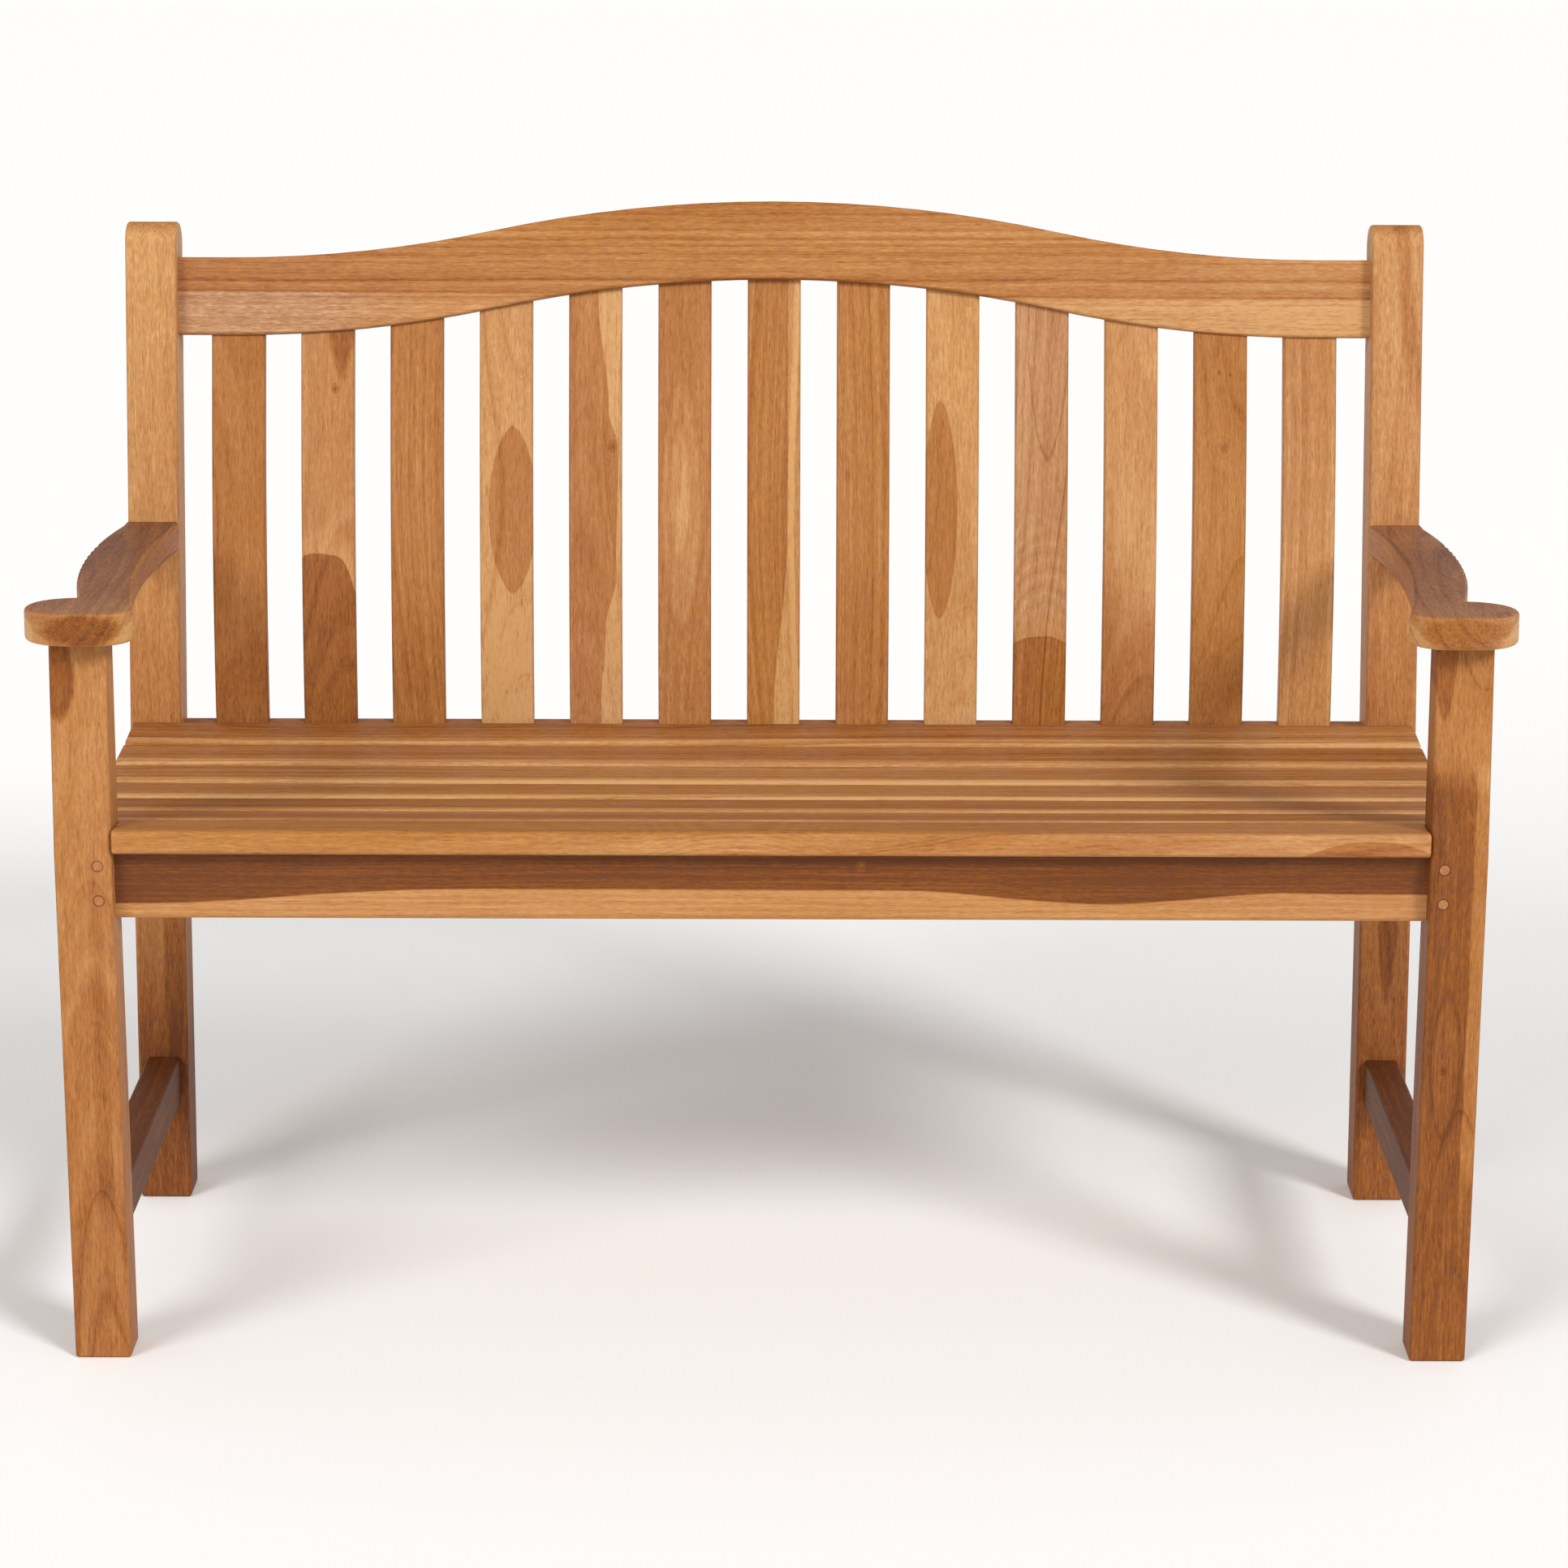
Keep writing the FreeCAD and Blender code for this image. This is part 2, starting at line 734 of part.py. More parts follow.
def side_rear_joint(side):
    x = centred(side * rail_middle, size["tenon_thickness"])
    z = (side_tenon_low, bed_height(post_bend) - size["tenon_shoulder"])
    middle = (z[0] + z[1]) / 2
    face = post_face(middle)
    y = (face - EMBED, face + size["side_tenon_length"])
    return (WORLD, x, y, z), [outer_peg(side, WORLD, face + size["side_peg_inset"], middle)]


def stretcher_front_joint(side):
    x = centred(side * rail_middle, size["tenon_thickness"])
    y = (leg_rear - size["stretcher_tenon_length"], leg_rear + EMBED)
    z = centred(stretcher_middle, size["stretcher_height"] - size["tenon_shoulder"] * 2)
    return (WORLD, x, y, z), [outer_peg(side, WORLD, leg_rear - size["peg_inset"], stretcher_middle)]


def stretcher_rear_joint(side):
    x = centred(side * rail_middle, size["tenon_thickness"])
    face = post_face(stretcher_middle)
    y = (face - EMBED, face + size["stretcher_tenon_length"])
    z = centred(stretcher_middle, size["stretcher_height"] - size["tenon_shoulder"] * 2)
    return (WORLD, x, y, z), [outer_peg(side, WORLD, face + size["peg_inset"], stretcher_middle)]


def arm_rear_joint(side):
    x = mirrored_span(side, post_inner + size["tenon_shoulder"], half_frame - size["tenon_shoulder"])
    middle = -size["arm_thickness"] / 2
    y = (sized(-EMBED), size["arm_tenon_length"])
    tenon = (arm, x, y, centred(middle, size["tenon_thickness"]))
    return tenon, [outer_peg(side, arm, size["arm_tenon_length"] / 2, middle)]


def arm_front_joint(side):
    """The stub tenon on top of the front leg, glued into the arm without a peg."""
    x = mirrored_span(side, leg_inner + size["tenon_shoulder"], half_frame - size["tenon_shoulder"])
    middle = (leg_top_front + leg_top_rear) / 2
    under = -size["arm_thickness"]
    y = centred(
        arm.reading(middle, arm.level(size["arm_thickness"], middle))[0],
        size["front_leg_top_depth"] - size["tenon_shoulder"] * 2,
    )
    return (arm, x, y, (under - EMBED, under + size["leg_tenon_length"])), []


def bearer_joint(end):
    """The tenon at the front or the rear of the centre bearer."""
    low = size["bearer_bottom"] + size["tenon_shoulder"]
    z = (low, low + size["bearer_tenon_height"])
    if end == "front":
        y = (apron_rear - size["bearer_tenon_length"], apron_rear + EMBED)
    else:
        y = (lower_rail_front - EMBED, lower_rail_front + size["bearer_tenon_length"])
    return WORLD, centred(sized(0), size["tenon_thickness"]), y, z


def tenon_of(name, joint, side):
    """The tenon of a joint, for the rail that carries it."""
    return block(f"{name}_tenon", *joint(side)[0])


def holes_for(name, joint, side, mortised):
    """The cuts that a joint makes: the holes of its pegs and, in the leg, its mortise as well."""
    tenon, pegs = joint(side)
    cuts = [peg_hole(f"{name}_hole_{index}", *place) for index, place in enumerate(pegs)]
    if mortised:
        cuts.append(socket(f"{name}_mortise", *tenon))
    return cuts


# ---------------------------------------------------------------- the seat slats' beds and screws

seat_gap = (
    post_bend - size["seat_rear_gap"] - front_slat_rear - size["seat_slat_width"] * SEAT_SLATS
) / SEAT_SLATS
slat_half = size["seat_slat_width"] / 2
# A flat slat rests on the hollow curve by its two long edges.
bed_lift = bed_radius - root(bed_radius * bed_radius - slat_half * slat_half)


def slat_bed(index):
    """A frame in the middle of a slat's underside."""
    middle = front_slat_rear + (seat_gap + size["seat_slat_width"]) * (index + 1) - slat_half
    away = middle - seat_low
    tilt = arcsine(away / bed_radius)
    on_curve = seat_centre.within(away, -root(bed_radius * bed_radius - away * away), tilt)
    return on_curve.within(0, bed_lift, 0)


slat_beds = [slat_bed(index) for index in range(SEAT_SLATS)]
apron_middle = (apron_front + apron_rear) / 2
front_slat_bed = front_slat_frame.within(
    (apron_middle - front_slat_frame.y) / cosine(size["front_slat_tilt"]), -size["seat_slat_thickness"], 0
)
apron_screws = [
    size["apron_screw_spacing"] * (index - (APRON_SCREWS - 1) / 2) for index in range(APRON_SCREWS)
]
bearer_lines = {"left": -rail_middle, "centre": sized(0), "right": rail_middle}
head_top = -size["screw_bearing"]
# A counterbore is deeper than any of the rails, so that it comes out underneath.
counterbore_depth = size["front_slat_height"] - size["side_rail_bottom"]


def screw(name, bed, x):
    shank_span = (head_top, size["screw_bite"])
    shank = upright_rod(f"{name}_shank", bed, size["screw_diameter"], x, 0, shank_span)
    head_span = (head_top - size["screw_head_height"], head_top)
    head = upright_rod(f"{name}_head", bed, size["screw_head_diameter"], x, 0, head_span)
    return fused(name, [shank, head])


def screw_hole(name, bed, x, span):
    return upright_rod(name, bed, size["screw_diameter"] + size["peg_clearance"] * 2, x, 0, span)


def screw_passage(name, bed, x):
    """The shank hole and the counterbore from below, in the wood under a slat."""
    shank = screw_hole(f"{name}_way", bed, x, (head_top - OVERSHOOT, sized(OVERSHOOT)))
    bore = size["screw_head_diameter"] + clearance * 2
    span = (head_top - counterbore_depth, head_top)
    return [shank, upright_rod(f"{name}_counterbore", bed, bore, x, 0, span)]


def pilot_holes(name, bed, places):
    span = (sized(-OVERSHOOT), size["screw_bite"] + size["end_room"])
    return [screw_hole(f"{name}_pilot_{index}", bed, x, span) for index, x in enumerate(places)]


# ---------------------------------------------------------------- the pieces


def front_leg(label, side):
    name = f"front_leg_{label}"
    under = size["arm_thickness"]
    corners = [
        (leg_front, 0),
        (leg_rear, 0),
        (leg_rear, leg_bend_height),
        (leg_top_rear, arm.level(under, leg_top_rear)),
        (leg_top_front, arm.level(under, leg_top_front)),
        (leg_front, leg_bend_height),
    ]
    body = blank(name, WORLD, "YZ_Plane", corners, *mirrored_span(side, leg_inner, half_frame))
    top = arm.level(under, leg_top_rear).value - MARGIN
    rounded(
        body,
        size["leg_edge"],
        lambda edge: edge.BoundBox.ZMax < MARGIN or (square_to_x(edge) and edge.CenterOfMass.z < top),
    )
    tenon = block(f"{name}_tenon", *arm_front_joint(side)[0])
    cuts = []
    for joint in (apron_joint, side_front_joint, stretcher_front_joint):
        cuts += holes_for(f"{name}_{joint.__name__}", joint, side, mortised=True)
    finish(name, body, [tenon], cuts)


def rear_leg(label, side):
    name = f"rear_leg_{label}"
    foot = post_bend - size["post_foot_lean"]
    corners = [
        (foot, 0),
        (foot + size["post_depth"], 0),
        (post_bend + size["post_depth"], size["post_bend_height"]),
        back.at(post_face_depth, post_reach),
        back.at(0, post_reach),
        (post_bend, size["post_bend_height"]),
    ]
    body = blank(name, WORLD, "YZ_Plane", corners, *mirrored_span(side, post_inner, half_frame))
    shoulder = size["post_bend_height"].value + MARGIN
    rounded(body, post_round, lambda edge: runs_along_x(edge) and edge.BoundBox.ZMin > shoulder)
    rounded(body, size["leg_edge"], lambda edge: edge.BoundBox.ZMax < MARGIN or square_to_x(edge))
    cuts = []
    for joint in (crest_joint, lower_rail_joint, side_rear_joint, stretcher_rear_joint, arm_rear_joint):
        cuts += holes_for(f"{name}_{joint.__name__}", joint, side, mortised=True)
    finish(name, body, cuts=cuts)


def crest_rail():
    ends, reach, crown = post_inner, size["crest_curve_reach"], size["crest_crown_reach"]
    low = size["crest_underside"]
    high = low + size["crest_height"]
    turn = crest_hollow_drop
    hollow_radius, crown_radius = crest_hollow_radius, crest_crown_radius
    corners = [
        (-ends, low),
        (-reach, low, hollow_radius),
        (-crown, low + turn, -crown_radius),
        (crown, low + turn, hollow_radius),
        (reach, low),
        (ends, low),
        (ends, high),
        (reach, high, -hollow_radius),
        (crown, high + turn, crown_radius),
        (-crown, high + turn, -hollow_radius),
        (-reach, high),
        (-ends, high),
    ]
    span = (size["crest_setback"], size["crest_setback"] + size["crest_thickness"])
    body = blank("crest_rail", back, "XZ_Plane", corners, *span)
    end = ends.value - MARGIN
    rounded(
        body, size["rail_edge"], lambda edge: square_to_y(edge) and abs(edge.CenterOfMass.x) < end
    )
    tenons = [tenon_of(f"crest_rail_{label}", crest_joint, side) for label, side in SIDES.items()]
    cuts = slat_housings("crest_rail", lambda x: (crest_underside(x), 1))
    for label, side in SIDES.items():
        cuts += holes_for(f"crest_rail_{label}", crest_joint, side, mortised=False)
    finish("crest_rail", body, tenons, cuts)


def lower_back_rail():
    low, high = lower_rail_bottom, size["lower_rail_top"]
    corners = [
        (lower_rail_front, low),
        (lower_rail_rear, low),
        (lower_rail_rear, high),
        (lower_rail_front, high),
    ]
    body = blank("lower_back_rail", WORLD, "YZ_Plane", corners, -post_inner, post_inner)
    rounded(body, size["back_slat_edge"], runs_along_x)
    tenons = [tenon_of(f"lower_rail_{label}", lower_rail_joint, side) for label, side in SIDES.items()]
    cuts = slat_housings("lower_rail", lambda x: (slat_foot, -1))
    cuts.append(socket("lower_rail_bearer_mortise", *bearer_joint("rear")))
    for label, side in SIDES.items():
        cuts += holes_for(f"lower_rail_{label}", lower_rail_joint, side, mortised=False)
    finish("lower_back_rail", body, tenons, cuts)


def front_apron():
    bottom, under = size["apron_bottom"], size["seat_slat_thickness"]
    corners = [
        (apron_front, bottom),
        (apron_rear, bottom),
        (apron_rear, front_slat_frame.level(under, apron_rear)),
        (apron_front, front_slat_frame.level(under, apron_front)),
    ]
    body = blank("front_apron", WORLD, "YZ_Plane", corners, -leg_inner, leg_inner)
    limit = bottom.value + MARGIN
    rounded(body, size["rail_edge"], lambda edge: runs_along_x(edge) and edge.BoundBox.ZMax < limit)
    tenons = [tenon_of(f"apron_{label}", apron_joint, side) for label, side in SIDES.items()]
    cuts = [socket("apron_bearer_mortise", *bearer_joint("front"))]
    for label, side in SIDES.items():
        cuts += holes_for(f"apron_{label}", apron_joint, side, mortised=False)
    for index, x in enumerate(apron_screws):
        cuts += screw_passage(f"apron_screw_{index}", front_slat_bed, x)
    finish("front_apron", body, tenons, cuts)


def side_rail(label, side):
    name = f"side_rail_{label}"
    bottom = size["side_rail_bottom"]
    *rear, rear_top = post_front(bottom, bed_height(post_bend))
    corners = [
        (leg_rear, bottom),
        *rear,
        (*rear_top, -bed_radius),
        (leg_rear, bed_height(leg_rear)),
    ]
    span = centred(side * rail_middle, size["side_rail_width"])
    body = blank(name, WORLD, "YZ_Plane", corners, *span)
    limit = bottom.value + MARGIN
    rounded(body, size["rail_edge"], lambda edge: square_to_x(edge) and edge.BoundBox.ZMax < limit)
    tenons, cuts = [], []
    for joint in (side_front_joint, side_rear_joint):
        tenons.append(tenon_of(f"{name}_{joint.__name__}", joint, side))
        cuts += holes_for(f"{name}_{joint.__name__}", joint, side, mortised=False)
    for index, bed in enumerate(slat_beds):
        cuts += screw_passage(f"{name}_screw_{index}", bed, bearer_lines[label])
    finish(name, body, tenons, cuts)


def centre_bearer():
    bottom = size["bearer_bottom"]
    corners = [
        (apron_rear, bottom),
        (lower_rail_front, bottom),
        (lower_rail_front, bed_height(lower_rail_front), -bed_radius),
        (apron_rear, bed_height(apron_rear)),
    ]
    span = centred(sized(0), size["side_rail_width"])
    body = blank("centre_bearer", WORLD, "YZ_Plane", corners, *span)
    limit = bottom.value + MARGIN
    rounded(body, size["rail_edge"], lambda edge: square_to_x(edge) and edge.BoundBox.ZMax < limit)
    tenons = [block(f"bearer_{end}_tenon", *bearer_joint(end)) for end in ("front", "rear")]
    cuts = []
    for index, bed in enumerate(slat_beds):
        cuts += screw_passage(f"bearer_screw_{index}", bed, bearer_lines["centre"])
    finish("centre_bearer", body, tenons, cuts)


def stretcher(label, side):
    name = f"stretcher_{label}"
    low = size["stretcher_bottom"]
    corners = [
        (leg_rear, low),
        (post_face(low), low),
        (post_face(stretcher_top), stretcher_top),
        (leg_rear, stretcher_top),
    ]
    span = centred(side * rail_middle, size["stretcher_width"])
    body = blank(name, WORLD, "YZ_Plane", corners, *span)
    rounded(body, size["rail_edge"], lambda edge: square_to_x(edge) and square_to_z(edge))
    tenons, cuts = [], []
    for joint in (stretcher_front_joint, stretcher_rear_joint):
        tenons.append(tenon_of(f"{name}_{joint.__name__}", joint, side))
        cuts += holes_for(f"{name}_{joint.__name__}", joint, side, mortised=False)
    finish(name, body, tenons, cuts)


def armrest(label, side):
    """The arm sweeps outwards from the post and ends in a round scroll with a notch behind it."""
    name = f"arm_{label}"
    widest = size["overall_width"] / 2
    scroll, corner = size["scroll_radius"], size["scroll_corner_radius"]
    inner = widest - size["scroll_width"]
    notch = widest - size["notch_inset"]
    notch_back = root(scroll * scroll - (notch - widest + scroll) * (notch - widest + scroll))
    corners = [
        (half_frame, OVERSHOOT),
        (half_frame, 0, size["arm_outer_curve"]),
        (notch, scroll - arm_length + notch_back, scroll),
        (widest, scroll - arm_length, scroll),
        (widest - scroll, -arm_length),
        (inner + corner, -arm_length, corner),
        (inner, corner - arm_length, -size["arm_inner_curve"]),
        (post_inner, 0),
        (post_inner, OVERSHOOT),
    ]
    corners = [(sized(x) * side, *rest) for x, *rest in corners]
    body = blank(name, arm, "XY_Plane", corners, -size["arm_thickness"], 0)
    notch_x = notch.value
    rounded(
        body,
        size["notch_radius"],
        lambda edge: edge.BoundBox.ZLength > MARGIN and abs(abs(edge.CenterOfMass.x) - notch_x) < FLAT,
    )
    rounded(body, size["arm_edge"], lambda edge: square_to_z(edge) and edge.BoundBox.YMin < -MARGIN)
    behind = block(
        f"{name}_post_side",
        back,
        mirrored_span(side, post_inner - OVERSHOOT, half_frame + OVERSHOOT),
        (sized(0), post_face_depth),
        (arm_mark - size["arm_thickness"] - OVERSHOOT, arm_mark + OVERSHOOT),
    )
    fitted = doc.addObject("Part::Cut", f"{name}_fitted")
    fitted.Base = body
    fitted.Tool = behind
    tenon = tenon_of(f"{name}_rear", arm_rear_joint, side)
    cuts = [socket(f"{name}_leg_mortise", *arm_front_joint(side)[0])]
    cuts += holes_for(f"{name}_rear", arm_rear_joint, side, mortised=False)
    finish(name, fitted, [tenon], cuts)


def seat_slat(name, frame, y, z, half_length, screws):
    """A seat slat between two values of Y and Z in its frame, with pilot holes from below."""
    corners = [(y[0], z[0]), (y[1], z[0]), (y[1], z[1]), (y[0], z[1])]
    body = blank(name, frame, "YZ_Plane", corners, -half_length, half_length)
    rounded(body, size["slat_edge"], runs_along_x)
    rounded(body, size["slat_end_edge"], square_to_x)
    finish(name, body, cuts=pilot_holes(name, *screws))


def pegs_of(name, joints):
    """All the pegs of one kind of joint, on both sides of the bench, as one node."""
    pegs = []
    for joint in joints:
        for label, side in SIDES.items():
            for index, place in enumerate(joint(side)[1]):
                pegs.append(peg(f"{joint.__name__}_{label}_peg_{index}", *place))
    group(name, pegs)


for label, side in SIDES.items():
    front_leg(label, side)
    rear_leg(label, side)
    side_rail(label, side)
    stretcher(label, side)
    armrest(label, side)
crest_rail()
lower_back_rail()
front_apron()
centre_bearer()
for number, x in enumerate(back_slat_places, start=1):
    back_slat(number, x)

seat_slat(
    "front_seat_slat",
    front_slat_frame,
    (sized(0), size["front_slat_width"]),
    (-size["seat_slat_thickness"], sized(0)),
    leg_inner - size["end_clearance"],
    (front_slat_bed, apron_screws),
)
for number, bed in enumerate(slat_beds, start=1):
    seat_slat(
        f"seat_slat_{number}",
        bed,
        (-slat_half, slat_half),
        (sized(0), size["seat_slat_thickness"]),
        half_frame - size["seat_slat_inset"],
        (bed, bearer_lines.values()),
    )

pegs_of("apron_pegs", [apron_joint])
pegs_of("crest_pegs", [crest_joint])
pegs_of("lower_rail_pegs", [lower_rail_joint])
pegs_of("side_rail_pegs", [side_front_joint, side_rear_joint])
pegs_of("stretcher_pegs", [stretcher_front_joint, stretcher_rear_joint])
pegs_of("arm_pegs", [arm_rear_joint])

screws = [screw(f"apron_screw_{index}", front_slat_bed, x) for index, x in enumerate(apron_screws)]
for index, bed in enumerate(slat_beds):
    for label, x in bearer_lines.items():
        screws.append(screw(f"slat_screw_{index}_{label}", bed, x))
group("seat_screws", screws)

doc.recompute()

# ---------------------------------------------------------------- checks and export

for thing in doc.Objects:
    if "Invalid" in thing.State or "Error" in thing.State:
        raise RuntimeError(f"{thing.Label} did not compute: {thing.State}")
for name, node in nodes.items():
    if node.Shape.isNull() or not node.Shape.isValid():
        raise RuntimeError(f"{name} has no valid shape")

os.makedirs("parts", exist_ok=True)
whole = FreeCAD.BoundBox()
for name, node in nodes.items():
    node.Shape.exportStep(f"parts/{name}.step")
    whole.add(node.Shape.optimalBoundingBox())
    print(f"{name}: {len(node.Shape.Solids)} solids, {node.Shape.Volume / 1000:.1f} cm3")
print("bench:", whole)
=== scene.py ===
import math

import bpy
from mathutils import Matrix, Vector


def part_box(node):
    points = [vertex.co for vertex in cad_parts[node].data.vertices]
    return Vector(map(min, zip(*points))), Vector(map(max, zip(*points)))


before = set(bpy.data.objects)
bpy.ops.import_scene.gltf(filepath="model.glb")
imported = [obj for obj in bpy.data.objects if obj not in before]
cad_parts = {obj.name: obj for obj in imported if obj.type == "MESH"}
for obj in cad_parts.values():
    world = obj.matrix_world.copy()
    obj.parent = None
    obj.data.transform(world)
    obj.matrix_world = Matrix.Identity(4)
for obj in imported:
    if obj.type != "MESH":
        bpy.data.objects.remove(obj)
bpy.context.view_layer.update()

# A teak garden bench in a plain pale studio. Metres; X runs along the bench, -Y is the front, +Z is up.

scene = bpy.context.scene
scene.view_settings.view_transform = "Standard"
scene.view_settings.look = "None"

# ---------------------------------------------------------------- camera, light and floor

SENSOR = 36.0                       # mm
LENS = 97.92                        # mm
CAMERA_PLACE = (0.0134, -3.5936, 1.4089)
CAMERA_PITCH = 0.2657               # radians below the horizon
CAMERA_YAW = -0.0009
CAMERA_ROLL = 0.0026

# name: strength, degrees left (-) or right (+) of the front, degrees above the horizon, softness
SUNS = {
    "key_light": (1.9, 42, 33, 15),
    "fill_light": (1.45, -40, 30, 28),
}
ROOM_LIGHT = 0.5
FLOOR_SIZE = 80.0
ROOM_COLOUR = (1.0, 0.995, 0.985, 1.0)
FLOOR_COLOUR = (0.96, 0.957, 0.95, 1.0)
FLOOR_ROUGHNESS = 0.85
FRONT_LIGHT = 1.36                  # light on the front of the bench: the wood's colours are divided by it
GLOSS = 0.022                       # white light that the wood's surface adds to its colour
SHEEN = 0.2                         # specular level of oiled wood


def make_camera():
    data = bpy.data.cameras.new("camera")
    data.sensor_width = SENSOR
    data.lens = LENS
    camera = bpy.data.objects.new("camera", data)
    turned = (
        Matrix.Rotation(-CAMERA_YAW, 4, "Z")
        @ Matrix.Rotation(math.pi / 2 - CAMERA_PITCH, 4, "X")
        @ Matrix.Rotation(CAMERA_ROLL, 4, "Z")
    )
    camera.matrix_world = Matrix.Translation(CAMERA_PLACE) @ turned
    scene.collection.objects.link(camera)
    scene.camera = camera


def make_sun(name, strength, sideways, height, softness):
    data = bpy.data.lights.new(name, "SUN")
    data.energy = strength
    data.angle = math.radians(softness)
    sun = bpy.data.objects.new(name, data)
    side, rise = math.radians(sideways), math.radians(height)
    towards = Vector((math.sin(side) * math.cos(rise), -math.cos(side) * math.cos(rise), math.sin(rise)))
    sun.rotation_euler = towards.to_track_quat("Z", "Y").to_euler()
    scene.collection.objects.link(sun)


def make_room():
    world = bpy.data.worlds.new("studio")
    world.use_nodes = True
    background = world.node_tree.nodes["Background"]
    background.inputs["Color"].default_value = ROOM_COLOUR
    background.inputs["Strength"].default_value = ROOM_LIGHT
    scene.world = world


def make_floor():
    half = FLOOR_SIZE / 2
    corners = [(-half, -half, 0), (half, -half, 0), (half, half, 0), (-half, half, 0)]
    mesh = bpy.data.meshes.new("floor")
    mesh.from_pydata(corners, [], [(0, 1, 2, 3)])
    floor = bpy.data.objects.new("floor", mesh)
    scene.collection.objects.link(floor)
    material = bpy.data.materials.new("studio_floor")
    material.use_nodes = True
    shader = material.node_tree.nodes["Principled BSDF"]
    shader.inputs["Base Color"].default_value = FLOOR_COLOUR
    shader.inputs["Roughness"].default_value = FLOOR_ROUGHNESS
    mesh.materials.append(material)


make_camera()
for name, settings in SUNS.items():
    make_sun(name, *settings)
make_room()
make_floor()

# ---------------------------------------------------------------- arithmetic on shader nodes


class Field:
    """A value that changes over a surface: a node's output that can be used in arithmetic."""

    def __init__(self, tree, socket):
        self.tree = tree
        self.socket = socket

    def __add__(self, other):
        return self.tree.math("ADD", self, other)

    def __radd__(self, other):
        return self.tree.math("ADD", other, self)

    def __sub__(self, other):
        return self.tree.math("SUBTRACT", self, other)

    def __rsub__(self, other):
        return self.tree.math("SUBTRACT", other, self)

    def __mul__(self, other):
        return self.tree.math("MULTIPLY", self, other)

    def __truediv__(self, other):
        return self.tree.math("DIVIDE", self, other)

    def __pow__(self, other):
        return self.tree.math("POWER", self, other)


class Nodes:
    """A node tree under construction."""

    def __init__(self, tree):
        self.tree = tree
        self.tree.nodes.clear()

    def add(self, kind, settings=None, **inputs):
        node = self.tree.nodes.new(kind)
        for key, value in (settings or {}).items():
            setattr(node, key, value)
        for key, value in inputs.items():
            self.feed(node.inputs[key.replace("_", " ")], value)
        return node

    def feed(self, socket, value):
        if isinstance(value, Field):
            self.tree.links.new(value.socket, socket)
        else:
            socket.default_value = value

    def math(self, operation, *values):
        node = self.add("ShaderNodeMath", {"operation": operation})
        for socket, value in zip(node.inputs, values):
            self.feed(socket, value)
        return Field(self, node.outputs[0])

    def point(self, x, y, z):
        return Field(self, self.add("ShaderNodeCombineXYZ", X=x, Y=y, Z=z).outputs[0])

    def split(self, vector):
        node = self.add("ShaderNodeSeparateXYZ", Vector=vector)
        return [Field(self, output) for output in node.outputs]

    def noise(self, vector, seed, detail=2.0, roughness=0.5):
        """Soft noise from about -0.5 to 0.5."""
        node = self.add(
            "ShaderNodeTexNoise",
            {"noise_dimensions": "4D"},
            Vector=vector,
            W=seed,
            Scale=1.0,
            Detail=detail,
            Roughness=roughness,
        )
        return Field(self, node.outputs["Fac"]) - 0.5

    def rise(self, value, low, high, start=0.0, end=1.0):
        """A smooth step from `start` at `low` to `end` at `high`."""
        node = self.add("ShaderNodeMapRange", {"interpolation_type": "SMOOTHSTEP"}, Value=value)
        for key, number in (("From Min", low), ("From Max", high), ("To Min", start), ("To Max", end)):
            self.feed(node.inputs[key], number)
        return Field(self, node.outputs["Result"])

    def fall(self, value, low, high):
        """A smooth step from 1 at `low` to 0 at `high`."""
        return self.rise(value, low, high, 1.0, 0.0)

    def line(self, gap, width):
        """1 where the gap is nothing, fading out within the width on both sides."""
        return self.fall(self.math("ABSOLUTE", gap), 0.0, width)

    def place(self):
        """Where the surface is, in metres in the bench's own frame."""
        return self.split(Field(self, self.add("ShaderNodeTexCoord").outputs["Object"]))

    def teak(self, **inputs):
        """The colour, roughness and relief of teak."""
        wood = self.add("ShaderNodeGroup", {"node_tree": TEAK}, **inputs)
        return [Field(self, output) for output in wood.outputs]

    def surface(self, colour, roughness, height, strength, distance):
        """A shader with relief, joined to the material's output."""
        bump = self.add("ShaderNodeBump", Strength=strength, Distance=distance, Height=height)
        shader = self.add(
            "ShaderNodeBsdfPrincipled",
            Base_Color=colour,
            Roughness=roughness,
            Normal=Field(self, bump.outputs["Normal"]),
        )
        self.add("ShaderNodeOutputMaterial", Surface=Field(self, shader.outputs["BSDF"]))
        return shader


def new_material(name):
    material = bpy.data.materials.new(name)
    material.use_nodes = True
    return material, Nodes(material.node_tree)


# ---------------------------------------------------------------- teak

# From sapwood to the darkest heartwood, as it looks in the studio's light (sRGB)
TEAK_TONES = {
    0.0: (226, 174, 118),
    0.15: (212, 155, 102),
    0.35: (196, 135, 83),
    0.55: (180, 117, 68),
    0.75: (157, 97, 56),
    1.0: (124, 76, 50),
}


def linear(level):
    """A colour level from 0 to 255 as light."""
    level /= 255
    return level / 12.92 if level <= 0.04045 else ((level + 0.055) / 1.055) ** 2.4


def paint(colour):
    """The surface colour that looks like this one once the studio's light and the wood's gloss are added."""
    return tuple((linear(level) - GLOSS) / FRONT_LIGHT for level in colour) + (1.0,)


